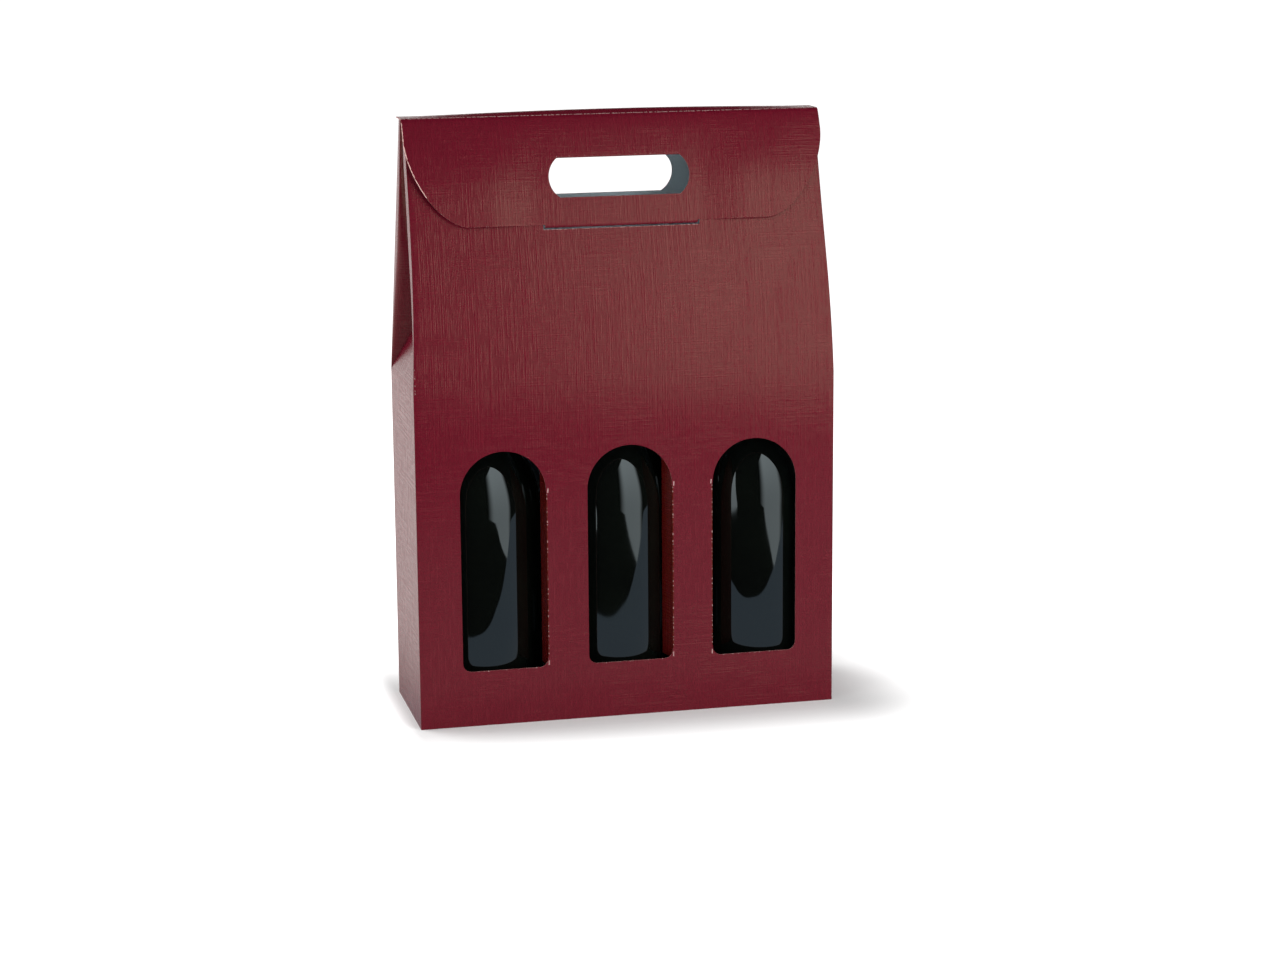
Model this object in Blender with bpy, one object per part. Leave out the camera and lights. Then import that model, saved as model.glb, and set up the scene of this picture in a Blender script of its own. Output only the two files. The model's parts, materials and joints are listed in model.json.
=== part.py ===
# Carrying carton for three wine bottles, folded from one sheet of embossed board.
# Metres, +Z up. The origin is the middle of the footprint; the front faces -Y.

from math import acos, asin, atan2, cos, hypot, pi, radians, sin, tan

import bmesh
import bpy
from mathutils import Vector

# Bottles: the box is made round three of them
bottle_radius = 0.040
bottle_height = 0.270
bottle_wall = 0.003
heel_radius = 0.006
punt_share = 0.775
punt_height = 0.018
neck_length = 0.058
shoulder_length = 0.083
shoulder_curve_share = 0.42
neck_radius = 0.0134
mouth_radius = 0.0137
mouth_height = 0.015
mouth_lip = 0.0012
bore_radius = 0.0093
cork_length = 0.045
capsule_length = 0.052
capsule_wall = 0.00025

# Each bottle's bay, counted from the middle one, and how far it stands off the bay's middle
# as a share of its play
bottle_play = 0.005
bottle_stand_shares = (("left", -1, 0.34), ("middle", 0, -0.28), ("right", 1, 0.60))

# Box
shoulder_room = 0.005
slope_rise = 0.163
top_depth = 0.018
side_taper = 0.0032
gusset_lean = radians(24.88)
board = 0.0005
crease_gap = 0.0003
loose_gap = 0.0004

# Cut-outs in the front; the row of them stands a little right of the middle
cutout_shift = 0.0013
window_width_share = 0.61
window_pitch_share = 0.9028
window_foot = 0.0356
window_drop = 0.0408
window_corner = 0.0055

# Handle hole, measured down from the top crease
handle_width = 0.090
handle_top = 0.0265
handle_bottom = 0.0518
handle_bulge = 0.0066
back_hole_drop = 0.0015
inner_hole_margin = 0.002
inner_hole_corner = 0.006
tongue_headroom = 0.0055

# Lid
lid_inset = 0.0015
lid_length = 0.0684
lid_bow = 0.0016
lid_side_run = 0.0142
lid_corner_width = 0.0375
lid_corner_power = 1.68
strip_arch = 0.0022
strip_setback = 0.0005
tab_play = 0.001
tab_length = 0.015
tab_corner = 0.007
tab_fold = radians(95)
tongue_margin = 0.0005
tongue_fold = radians(100)
slot_width = 0.100
slot_above = 0.0024
slot_below = 0.0024

# Folded-in sides
wing_reach_share = 0.93
wing_bulge_share = 0.55
wing_foot_share = 0.05
diagonal_rise = 0.0012

# Base
base_front_share = 0.578
base_back_share = 0.644
base_bevel = 0.012
dust_reach = 0.050
dust_bevel = 0.016
lock_share = 0.222
lock_ramp = 0.006
lock_bevel = 0.006
lock_slot_margin = 0.0015
glue_width = 0.015
glue_end = 0.010

# Flaps folded in from the windows: each window's number from the middle, the side of its hinge,
# and how far the flap stays short of square
flap_reach = 0.0141
window_flaps = (
    ("left", -1, 1, radians(4.7)),
    ("middle", 0, 1, radians(15.1)),
    ("right", 1, -1, radians(8)),
)

# Facets
window_steps = 16
corner_steps = 5
lid_corner_steps = 14
bow_steps = 12
arch_steps = 10
wing_steps = 8
wing_rows = 14
bottle_steps = 36
curve_steps = 9
punt_steps = 3
flap_foot_steps = 4
crease_angle = radians(35)
merge_distance = 0.000005
cutter_reach = 0.02

# Worked out from the driving dimensions
bay = 2 * (bottle_radius + bottle_play)
box_width = 3 * bay
box_depth = bay
half_width = box_width / 2
half_depth = box_depth / 2
half_top = top_depth / 2
neck_start = bottle_height - neck_length
shoulder_start = neck_start - shoulder_length
shoulder_height = neck_start + shoulder_room
crease_height = shoulder_height + slope_rise
slope_run = half_depth - half_top
slope_length = hypot(slope_run, slope_rise)
lean = atan2(slope_run, slope_rise)
gusset_height = half_depth * sin(lean) / (1 - cos(gusset_lean) * cos(lean))
bottle_places = {
    side: number * bay + share * bottle_play
    for side, number, share in bottle_stand_shares
}
window_width = bay * window_width_share
window_pitch = bay * window_pitch_share
window_top = shoulder_height - window_drop
lid_width = box_width - 2 * lid_inset
tab_width = slot_width - 2 * tab_play
turns = {"front": 0.0, "back": pi, "left": -pi / 2, "right": pi / 2}

# The base's flaps; the lock tongue is as wide as the feet of the outer bottles leave room for
base_front_reach = box_depth * base_front_share
base_back_reach = box_depth * base_back_share
lock_reach = box_depth * lock_share
lock_width = 2 * (min(abs(bottle_places[side]) for side in ("left", "right")) - bottle_radius - crease_gap)

# Heights of the base's layers, each board lying on the one below
layer_step = board + crease_gap
fold_start = board + crease_gap
dust_level = layer_step
back_flap_level = 2 * layer_step
lock_level = 3 * layer_step
floor_level = lock_level + layer_step

# The lid's mid-surface lies this far above the top creases and outside the front panel
lid_rise = crease_gap + board / 2
lid_seat = crease_gap + board / 2 - lid_rise * sin(lean)


def clear_scene():
    for item in list(bpy.data.objects):
        bpy.data.objects.remove(item, do_unlink=True)


def make_material(name, colour, roughness, metallic=0.0):
    finish = bpy.data.materials.new(name)
    finish.use_nodes = True
    shader = finish.node_tree.nodes["Principled BSDF"]
    shader.inputs["Base Color"].default_value = (*colour, 1.0)
    shader.inputs["Roughness"].default_value = roughness
    shader.inputs["Metallic"].default_value = metallic
    return finish


def add_object(name, bm, finish, smooth=False):
    mesh = bpy.data.meshes.new(name)
    bm.to_mesh(mesh)
    bm.free()
    if smooth:
        mesh.shade_smooth()
        mesh.set_sharp_from_angle(angle=crease_angle)
    mesh.materials.append(finish)
    item = bpy.data.objects.new(name, mesh)
    bpy.context.scene.collection.objects.link(item)
    return item


def plate(name, outline, finish, holes=(), start=0.0, depth=board):
    """A flat cut piece: the outline lies in local X and Z, the thickness runs along +Y from start."""
    bm = bmesh.new()
    for loop in (outline, *holes):
        corners = [bm.verts.new((x, start, z)) for x, z in loop]
        for a, b in zip(corners, corners[1:] + corners[:1]):
            bm.edges.new((a, b))
    bmesh.ops.triangle_fill(bm, use_beauty=True, use_dissolve=False, edges=bm.edges[:])
    grown = bmesh.ops.extrude_face_region(bm, geom=bm.faces[:])
    moved = [part for part in grown["geom"] if isinstance(part, bmesh.types.BMVert)]
    bmesh.ops.translate(bm, vec=(0, depth, 0), verts=moved)
    bmesh.ops.recalc_face_normals(bm, faces=bm.faces[:])
    return add_object(name, bm, finish)


def sheet(name, rows, finish):
    """A curved piece of board: a grid of points on its mid-surface, thickened both ways."""
    bm = bmesh.new()
    grid = [[bm.verts.new(point) for point in row] for row in rows]
    for low, high in zip(grid, grid[1:]):
        for a, b, c, d in zip(low, low[1:], high[1:], high):
            bm.faces.new((a, b, c, d))
    item = add_object(name, bm, finish, smooth=True)
    wall = item.modifiers.new("board", "SOLIDIFY")
    wall.thickness = board
    wall.offset = 0.0
    wall.use_even_offset = True
    return item


def revolve(name, profile, finish, steps):
    """A turned piece from (radius, height) pairs that run from axis to axis or close on themselves."""
    bm = bmesh.new()
    corners = [bm.verts.new((radius, 0, height)) for radius, height in profile]
    pairs = list(zip(corners, corners[1:]))
    if profile[0][0] > merge_distance:
        pairs.append((corners[-1], corners[0]))
    edges = [bm.edges.new(pair) for pair in pairs]
    turn = {"cent": (0, 0, 0), "axis": (0, 0, 1), "angle": 2 * pi}
    bmesh.ops.spin(bm, geom=corners + edges, steps=steps, use_merge=True, **turn)
    bmesh.ops.remove_doubles(bm, verts=bm.verts[:], dist=merge_distance)
    bmesh.ops.recalc_face_normals(bm, faces=bm.faces[:])
    return add_object(name, bm, finish, smooth=True)


def stand(item, side, foot, tilt=0.0, height=0.0):
    """Turns a wall to its side of the box, foot away from the middle, leaning inwards by tilt."""
    turn = turns[side]
    item.location = (foot * sin(turn), -foot * cos(turn), height)
    item.rotation_euler = (-tilt, 0.0, turn)
    return item


def arc(centre_x, centre_z, radius, start, end, steps, shares=(1.0, 1.0)):
    points = []
    for i in range(steps + 1):
        angle = start + (end - start) * i / steps
        x = centre_x + radius * shares[0] * cos(angle)
        z = centre_z + radius * shares[1] * sin(angle)
        points.append((x, z))
    return points


def rounded(points, radius, steps=corner_steps):
    """The same outline with each corner of an anticlockwise loop rounded by a quadratic curve."""
    found = []
    count = len(points)
    for i, corner in enumerate(points):
        here = Vector(corner)
        before = (Vector(points[i - 1]) - here).normalized() * radius
        after = (Vector(points[(i + 1) % count]) - here).normalized() * radius
        for k in range(steps + 1):
            t = k / steps
            found.append(tuple(here + before * (1 - t) ** 2 + after * t**2))
    return found


def rectangle(low_x, high_x, low_z, high_z):
    return [(low_x, low_z), (high_x, low_z), (high_x, high_z), (low_x, high_z)]


def window_outline(centre):
    """An arched window: a half circle on straight sides, with small round corners at its foot."""
    half = window_width / 2
    low = window_foot + window_corner
    left, right = centre - half + window_corner, centre + half - window_corner
    foot = arc(right, low, window_corner, -pi / 2, 0.0, corner_steps)
    head = arc(centre, window_top - half, half, 0.0, pi, window_steps)
    left_foot = arc(left, low, window_corner, pi, 3 * pi / 2, corner_steps)
    return foot + head + left_foot


def handle_outline(top, bottom, centre=0.0, grow=0.0):
    """A handle hole below a crease at height zero: straight edges above and below, bulging ends."""
    reach = handle_width / 2 + grow
    middle = -(top + bottom) / 2
    chord = bottom - top
    radius = (chord**2 / 4 + handle_bulge**2) / (2 * handle_bulge)
    swing = atan2(chord / 2, radius - handle_bulge)
    right = arc(centre + reach - radius, middle, radius, -swing, swing, window_steps // 2)
    left = arc(centre - reach + radius, middle, radius, pi - swing, pi + swing, window_steps // 2)
    return right + left


def lowered(outline, height):
    """An outline drawn below a crease at height zero, moved to a crease at the given height."""
    return [(x, z + height) for x, z in outline]


def tilted_foot(tilt):
    """Where a leaning wall starts, so that its inner edge keeps the gap above the shoulder crease."""
    return crease_gap / 2 + board * tan(tilt)


def slope_outline():
    """A sloping panel: full width at the shoulder, a little narrower at the top crease."""
    low, high = tilted_foot(lean), slope_length - crease_gap
    narrow = half_width - side_taper
    return [(-half_width, low), (half_width, low), (narrow, high), (-narrow, high)]


def make_lower_walls(outer):
    wide = rectangle(-half_width, half_width, 0.0, shoulder_height - crease_gap / 2)
    side_reach = half_depth - board - crease_gap
    narrow = rectangle(-side_reach, side_reach, 0.0, shoulder_height - crease_gap / 2)
    windows = [window_outline(cutout_shift + i * window_pitch) for i in (-1, 0, 1)]
    stand(plate("front_panel", wide, outer, windows), "front", half_depth)
    stand(plate("back_panel", wide, outer), "back", half_depth)
    for side in ("left", "right"):
        stand(plate(side + "_side_panel", narrow, outer), side, half_width)


def make_glue_flap(outer):
    """The seam: a flap on the left side panel, glued flat inside the back panel."""
    far = half_width - board - crease_gap
    near = far - glue_width
    high = shoulder_height - crease_gap
    outline = [(near, 2 * glue_end), (far, glue_end), (far, high - glue_end), (near, high - 2 * glue_end)]
    stand(plate("glue_flap", outline, outer, start=board + crease_gap), "back", half_depth)


def make_sloping_panels(outer):
    crease = slope_length
    slot_top, slot_bottom = -lid_length + slot_above, -lid_length - slot_below
    slot_left, slot_right = cutout_shift - slot_width / 2, cutout_shift + slot_width / 2
    slot = rectangle(slot_left, slot_right, slot_bottom, slot_top)
    reach = handle_width / 2 + inner_hole_margin
    hole_low, hole_high = -handle_bottom - inner_hole_margin, tongue_headroom - handle_top
    front_hole = rectangle(cutout_shift - reach, cutout_shift + reach, hole_low, hole_high)
    front_hole = rounded(front_hole, inner_hole_corner)
    back_hole = handle_outline(handle_top + back_hole_drop, handle_bottom + back_hole_drop)
    front_cuts = [lowered(front_hole, crease), lowered(slot, crease)]
    front = plate("front_sloping_panel", slope_outline(), outer, front_cuts)
    back = plate("back_sloping_panel", slope_outline(), outer, [lowered(back_hole, crease)])
    stand(front, "front", half_depth, lean, shoulder_height)
    stand(back, "back", half_depth, lean, shoulder_height)


def make_gussets(outer):
    """Each side's triangle, hinged on the shoulder crease and leaning in between the wings."""
    reach = half_depth - board - 2 * crease_gap
    share = reach / half_depth
    low = tilted_foot(gusset_lean)
    outline = [(-reach, low), (reach, low), (0.0, low + gusset_height * share)]
    for side in ("left", "right"):
        gusset = plate(side + "_gusset", outline, outer)
        stand(gusset, side, half_width, gusset_lean, shoulder_height)


def wing_rows_of(side_sign, end_sign):
    """Rows of points across one wing, foot to top, each from the panel's side crease inwards."""
    apex_in = gusset_height * sin(gusset_lean)
    apex_up = gusset_height * cos(gusset_lean)
    mouth_in = side_taper + wing_reach_share * half_depth
    crease_in = board / 2
    rows = []
    for j in range(wing_rows + 1):
        share = wing_foot_share + (1 - wing_foot_share) * j / wing_rows
        up = share * (slope_rise - crease_gap)
        depth_here = half_depth - share * slope_run - board - loose_gap
        start = Vector((half_width - share * side_taper - crease_in, depth_here, up))
        on_diagonal = min(up / apex_up, 1.0)
        on_centre = max(up - apex_up, 0.0) / (slope_rise - apex_up)
        inset = on_diagonal * apex_in + on_centre * (mouth_in - apex_in)
        end_y = max(half_depth * (1 - on_diagonal), board / 2 + crease_gap)
        end_up = up + diagonal_rise * (up < apex_up)
        end = Vector((half_width - inset - crease_in, min(end_y, depth_here), end_up))
        bend = start - Vector((0.0, wing_bulge_share * (depth_here - end.y), 0.0))
        row = []
        for i in range(wing_steps + 1):
            t = i / wing_steps
            point = start * (1 - t) ** 2 + bend * (2 * t * (1 - t)) + end * t**2
            row.append((side_sign * point.x, end_sign * point.y, shoulder_height + point.z))
        rows.append(row)
    return rows


def make_wings(outer):
    for side, side_sign in (("left", -1), ("right", 1)):
        for end, end_sign in (("front", -1), ("back", 1)):
            rows = wing_rows_of(side_sign, end_sign)
            if side_sign * end_sign < 0:
                rows = [row[::-1] for row in rows]
            sheet(side + "_" + end + "_wing", rows, outer)


def base_flap_outline(reach, half, bevel):
    """A base flap hanging from its crease at height zero, with bevelled outer corners."""
    return [(-half, 0.0), (-half + bevel, -reach), (half - bevel, -reach), (half, 0.0)]


def lay_flap(item, side, foot, level):
    """Lays a flap that was drawn hanging down flat under the box, pointing inwards from its wall."""
    stand(item, side, foot, 0.0, level)
    item.rotation_euler[0] = pi / 2
    return item


def make_base(outer):
    inside_x = half_width - board - crease_gap
    inside_y = half_depth - board - crease_gap
    half = inside_x - crease_gap
    for side in ("left", "right"):
        outline = base_flap_outline(dust_reach, inside_y - crease_gap, dust_bevel)
        lay_flap(plate(side + "_dust_flap", outline, outer), side, inside_x, dust_level)
    back_outline = base_flap_outline(base_back_reach, half, base_bevel)
    ramp_start = 2 * inside_y - base_front_reach
    slot_low = -ramp_start - lock_slot_margin
    slot_high = -ramp_start + lock_ramp + lock_slot_margin
    slot_reach = lock_width / 2 + lock_slot_margin
    slot = rectangle(-slot_reach, slot_reach, slot_low, slot_high)
    lay_flap(plate("back_base_flap", back_outline, outer, [slot]), "back", inside_y, back_flap_level)
    make_front_flap(half, inside_y, outer)


def make_front_flap(half, inside_y, outer):
    """The outer base flap, with its lock tongue stepping up through the back flap's slot."""
    steps = [
        (0.0, 0.0, half),
        (base_front_reach, 0.0, half - base_bevel),
        (base_front_reach, 0.0, lock_width / 2),
        (base_front_reach + lock_ramp, lock_level, lock_width / 2),
        (base_front_reach + lock_ramp + lock_reach, lock_level, lock_width / 2 - lock_bevel),
    ]
    bm = bmesh.new()
    rows = []
    for reach, level, side in steps:
        y = -inside_y + reach
        rows.append([bm.verts.new((x, y, level)) for x in (-side, side)])
    crease, corners, root = rows[:3]
    bm.faces.new((*crease, corners[1], *root[::-1], corners[0]))
    for low, high in zip(rows[2:], rows[3:]):
        bm.faces.new((*low, *high[::-1]))
    item = add_object("front_base_flap", bm, outer)
    wall = item.modifiers.new("board", "SOLIDIFY")
    wall.thickness = board
    wall.offset = 1.0
    return item


def window_flap_outline():
    """The strip of the window's cut-out beside its crease at zero; it keeps the window's arch."""
    half = window_width / 2
    start = board / 2
    low = window_foot + window_corner
    foot_end = -asin(start / window_corner)
    head_start = acos(1 - start / half)
    head_end = acos(1 - flap_reach / half)
    foot = arc(-window_corner, low, window_corner, -pi / 2, foot_end, flap_foot_steps)
    head = arc(-half, window_top - half, half, head_start, head_end, window_steps // 2)
    return foot + head + [(-flap_reach, window_foot)]


def make_window_flaps(outer):
    for name, number, side, lag in window_flaps:
        outline = [(side * x, z) for x, z in window_flap_outline()]
        flap = plate(name + "_window_flap", outline, outer, start=-board / 2)
        edge = cutout_shift + number * window_pitch + side * window_width / 2
        flap.location = (edge + side * board / 2, -half_depth + board + loose_gap, 0.0)
        flap.rotation_euler = (0.0, 0.0, -side * (pi / 2 - lag))


def lid_outline():
    """The front flap below its crease: straight sides that run into large flat-topped corners."""
    side = lid_width / 2
    tall = lid_length - lid_side_run
    corner = []
    for i in range(lid_corner_steps + 1):
        angle = pi / 2 * i / lid_corner_steps
        x = side - lid_corner_width + lid_corner_width * cos(angle) ** (2 / lid_corner_power)
        z = -lid_side_run - tall * sin(angle) ** (2 / lid_corner_power)
        corner.append((x, z))
    right = [(side, -crease_gap), *corner]
    return right + [(-x, z) for x, z in reversed(right)]


def lid_face(down):
    """How far the flap's mid-surface stands in front of its crease, down from it: it bows a little."""
    return -lid_seat - lid_bow * sin(pi * down / lid_length)


def make_lid(outer):
    """The lid in three creased stretches and a tongue, each with its origin on its own crease."""
    strip_axis = bpy.data.objects.new("lid_axis", None)
    flap_axis = bpy.data.objects.new("flap_axis", None)
    for axis in (strip_axis, flap_axis):
        bpy.context.scene.collection.objects.link(axis)
    strip_axis.location = (0.0, half_top, crease_height)
    flap_axis.parent = strip_axis
    flap_axis.location = (0.0, -top_depth, lid_rise)
    flap_axis.rotation_euler = (-lean, 0.0, 0.0)
    make_strip(outer).parent = strip_axis
    make_flap(outer).parent = flap_axis
    tab = plate("tuck_tab", tab_outline(), outer, start=-board / 2)
    tab.parent = flap_axis
    tab.location = (0.0, lid_face(lid_length), -lid_length)
    tab.rotation_euler = (tab_fold, 0.0, 0.0)
    tongue = plate("handle_tongue", tongue_outline(), outer, start=-board / 2)
    tongue.parent = flap_axis
    tongue.location = (0.0, lid_face(handle_top), -handle_top)
    tongue.rotation_euler = (tongue_fold, 0.0, 0.0)


def make_strip(outer):
    rows = []
    side = lid_width / 2
    for i in range(arch_steps + 1):
        x = side * (2 * i / arch_steps - 1)
        row = []
        for j in range(wing_steps + 1):
            t = j / wing_steps
            y = -strip_setback - (top_depth - 2 * strip_setback) * t
            row.append((x, y, lid_rise + strip_arch * sin(pi * t) * (1 - (x / side) ** 2)))
        rows.append(row[::-1])
    return sheet("lid_strip", rows, outer)


def make_flap(outer):
    rows = []
    for j in range(bow_steps + 1):
        down = lid_length * j / bow_steps
        rows.append([(sign * lid_width, lid_face(down), -down) for sign in (-1, 1)])
    flap = sheet("lid_flap", rows, outer)
    hole = handle_outline(handle_top, handle_bottom, cutout_shift)
    cutter = plate(
        "lid_flap_cutter", lid_outline(), outer, [hole], start=-cutter_reach, depth=2 * cutter_reach
    )
    cutter.hide_render = True
    cutter.display_type = "WIRE"
    cutter.parent = flap
    cut = flap.modifiers.new("outline", "BOOLEAN")
    cut.operation = "INTERSECT"
    cut.solver = "EXACT"
    cut.object = cutter
    return flap


def tab_outline():
    half = tab_width / 2
    slant = tab_corner / 2
    start = fold_start
    root = [(half, -start), (-half, -start)]
    corners = [(-half + slant, -tab_length), (half - slant, -tab_length), *root]
    left, right = corners[:2]
    tip = rounded(corners, tab_corner)
    keep = 2 * (corner_steps + 1)
    return [(x + cutout_shift, z) for x, z in tip[:keep] + root]


def tongue_outline():
    """The tongue was cut out of the hole it hangs in, so it has the hole's outline, a little smaller."""
    tall = handle_bottom - handle_top
    return handle_outline(fold_start, tall - tongue_margin, cutout_shift, -tongue_margin)


def shoulder_curve():
    """The long sloping shoulder, from the body's edge into the neck, as a cubic curve."""
    a = Vector((bottle_radius, shoulder_start))
    d = Vector((neck_radius, neck_start))
    handle = Vector((0.0, shoulder_length * shoulder_curve_share))
    b = a + handle
    c = d - handle
    points = []
    for i in range(curve_steps + 1):
        t = i / curve_steps
        near = a * (1 - t) ** 3 + b * (3 * t * (1 - t) ** 2)
        far = c * (3 * t**2 * (1 - t)) + d * t**3
        points.append(tuple(near + far))
    return points


def bottle_profile():
    """The glass, outside and then inside, from the punt over the mouth to the floor."""
    punt_radius = bottle_radius * punt_share
    punt = arc(0.0, 0.0, punt_radius, pi / 2, 0.0, punt_steps, (1.0, punt_height / punt_radius))
    heel = arc(bottle_radius - heel_radius, heel_radius, heel_radius, -pi / 2, 0.0, corner_steps)
    outside = punt + heel + shoulder_curve()
    mouth_low = bottle_height - mouth_height
    mouth_high = bottle_height - mouth_lip
    mouth = [(neck_radius, mouth_low), (mouth_radius, mouth_low + mouth_lip), (mouth_radius, mouth_high)]
    lip = [(mouth_radius - mouth_lip, bottle_height), (bore_radius, bottle_height)]
    inside = [(radius - bottle_wall, height) for radius, height in reversed(shoulder_curve()[:-2])]
    floor_height = heel_radius + bottle_wall
    floor = [(bottle_radius - bottle_wall, floor_height), (punt_radius - bottle_wall, floor_height)]
    inside = [(bore_radius, neck_start)] + inside + floor + [(0.0, punt_height + bottle_wall)]
    return outside + mouth + lip + inside


def cork_profile():
    radius = bore_radius - crease_gap
    low = bottle_height - cork_length
    high = bottle_height - mouth_lip / 2
    bevel = mouth_lip / 2
    return [(0.0, low), (radius - bevel, low), (radius, low + bevel), (radius, high), (0.0, high)]


def capsule_profile():
    """A thin sleeve that follows the neck, swells over the mouth ring and closes on top."""
    neck = neck_radius + crease_gap
    ring = mouth_radius + crease_gap
    low = bottle_height - capsule_length
    ring_low = bottle_height - mouth_height - mouth_lip
    top = bottle_height + crease_gap
    out = capsule_wall
    outside = [(neck + out, low), (neck + out, ring_low - mouth_lip)]
    outside.append((ring + out, ring_low + mouth_lip / 2))
    crown = [(ring + out, top - mouth_lip / 2), (ring - mouth_lip / 2, top + out), (0.0, top + out)]
    under = [(0.0, top), (ring - mouth_lip, top), (ring, top - mouth_lip / 2)]
    inside = [(ring, ring_low + mouth_lip / 2), (neck, ring_low - mouth_lip), (neck, low)]
    return outside + crown + under + inside


def make_bottles(glass, cork, foil):
    for side, place in bottle_places.items():
        level = floor_level if abs(place) < bottle_radius else lock_level
        foot = bpy.data.objects.new(side + "_bottle_foot", None)
        bpy.context.scene.collection.objects.link(foot)
        foot.location = (place, 0.0, level)
        body = revolve(side + "_bottle", bottle_profile(), glass, bottle_steps)
        stopper = revolve(side + "_cork", cork_profile(), cork, bottle_steps // 2)
        cap = revolve(side + "_capsule", capsule_profile(), foil, bottle_steps)
        for item in (body, stopper, cap):
            item.parent = foot


def main():
    clear_scene()
    outer = make_material("burgundy_board", (0.125, 0.012, 0.022), 0.5)
    glass = make_material("dark_glass", (0.004, 0.007, 0.004), 0.04)
    cork = make_material("cork", (0.45, 0.29, 0.16), 0.85)
    foil = make_material("capsule_foil", (0.02, 0.008, 0.01), 0.35, 0.6)
    make_lower_walls(outer)
    make_glue_flap(outer)
    make_sloping_panels(outer)
    make_gussets(outer)
    make_wings(outer)
    make_base(outer)
    make_window_flaps(outer)
    make_lid(outer)
    make_bottles(glass, cork, foil)


main()
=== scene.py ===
# %% [markdown]
# # A carrying box for three bottles
# The real object is one sheet of linen-embossed board, burgundy outside and pale inside, creased,
# folded and glued round three dark bottles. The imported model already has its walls, lid, flaps and
# bottles as separate solids with their joints. This script dresses that model: it keeps every size,
# builds finer surfaces where the eye looks for folds, cut edges and round glass, and gives each
# piece a procedural finish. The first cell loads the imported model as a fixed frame.

import json
import math

import bmesh
import bpy
import numpy as np
from mathutils import Matrix, Vector


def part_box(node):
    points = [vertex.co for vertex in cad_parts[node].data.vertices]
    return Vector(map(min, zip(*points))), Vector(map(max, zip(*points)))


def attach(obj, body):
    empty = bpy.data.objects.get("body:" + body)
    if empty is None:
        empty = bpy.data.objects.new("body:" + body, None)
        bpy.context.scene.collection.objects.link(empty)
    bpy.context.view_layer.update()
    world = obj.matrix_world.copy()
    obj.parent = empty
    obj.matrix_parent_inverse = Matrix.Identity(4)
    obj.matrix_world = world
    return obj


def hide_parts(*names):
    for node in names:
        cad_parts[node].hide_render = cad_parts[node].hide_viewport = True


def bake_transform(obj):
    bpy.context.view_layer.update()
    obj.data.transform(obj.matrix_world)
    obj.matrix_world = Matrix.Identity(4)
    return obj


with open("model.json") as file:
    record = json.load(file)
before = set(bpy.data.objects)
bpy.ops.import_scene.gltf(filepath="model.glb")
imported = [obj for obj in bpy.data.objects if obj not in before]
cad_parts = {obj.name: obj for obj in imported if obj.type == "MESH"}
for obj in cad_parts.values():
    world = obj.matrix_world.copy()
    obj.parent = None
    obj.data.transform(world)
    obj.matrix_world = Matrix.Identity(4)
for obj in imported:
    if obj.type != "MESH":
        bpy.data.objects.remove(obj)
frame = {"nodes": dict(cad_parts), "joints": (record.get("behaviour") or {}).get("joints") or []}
nodes = frame["nodes"]
joints = {joint["name"]: joint for joint in frame["joints"]}
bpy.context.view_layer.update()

# %% [markdown]
# ## The sizes this scene needs
# A folded box is described by a handful of lengths. Sizes that are read this way aren't typed in
# again. What a box or a joint doesn't tell, such as how round a fold is, is written in metres where
# it is first needed.

# %% Read the sizes from the frame
front_low, front_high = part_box("front_panel")
half_width, half_depth = front_high.x, -front_low.y
board = front_high.y - front_low.y
crease_y, crease_z = joints["lid_crease"]["pos_m"][1:]
crease_gap = 0.0003
shoulder = front_high.z + crease_gap / 2
slope_rise = crease_z - shoulder
lean = math.atan2(half_depth - crease_y, slope_rise)
slope = math.hypot(half_depth - crease_y, slope_rise)
top_crease = shoulder + slope
side_taper = 0.0032
gusset_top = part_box("left_gusset")[1]
gusset_lean = math.atan2(gusset_top.x + half_width, gusset_top.z - shoulder)
gusset_length = 0.0849
fold_radius = 0.0005
print(f"board {board * 1000:.2f} mm, shoulder {shoulder * 1000:.1f}, lean {math.degrees(lean):.2f} degrees")

# %% [markdown]
# ## From numbers to a mesh
# numpy works out a grid of points, `from_pydata` puts it into a mesh, and the grid's squares become
# faces. Holes are left by skipping faces, so their outlines are exact and need no Boolean. Where
# many points fall together, as at the tip of an arch, they are welded.

# %% Mesh helpers
def stacked(*values):
    """Puts separate grids of x, y and z, or of two board coordinates, together into one grid. A row, a
    column or a single number is spread out to the others' shape."""
    return np.stack(np.broadcast_arrays(*values), axis=-1)


def grid_faces(rows, columns, keep=None):
    """Corner numbers of the quads of a rows x columns grid; keep says which quads exist."""
    index = np.arange(rows * columns).reshape(rows, columns)
    quads = np.stack([index[:-1, :-1], index[:-1, 1:], index[1:, 1:], index[1:, :-1]], axis=-1)
    return quads[np.ones(quads.shape[:2], bool) if keep is None else keep]


def new_object(name, points, faces, uv=None):
    """A mesh object at the origin from arrays of points and faces; uv holds board metres per point."""
    mesh = bpy.data.meshes.new(name)
    mesh.from_pydata(points.reshape(-1, 3).tolist(), [], faces.tolist())
    mesh.update()
    if uv is not None:
        layer = mesh.uv_layers.new(name="board")
        corner = np.empty(len(mesh.loops), np.int32)
        mesh.loops.foreach_get("vertex_index", corner)
        layer.data.foreach_set("uv", uv.reshape(-1, 2)[corner].astype(np.float32).ravel())
    item = bpy.data.objects.new(name, mesh)
    bpy.context.scene.collection.objects.link(item)
    return item


def merge_doubles(item, distance=1e-6):
    """Welds points that fall together and drops the faces that collapse."""
    bm = bmesh.new()
    bm.from_mesh(item.data)
    bmesh.ops.remove_doubles(bm, verts=bm.verts[:], dist=distance)
    bm.to_mesh(item.data)
    bm.free()
    item.data.update()


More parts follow.
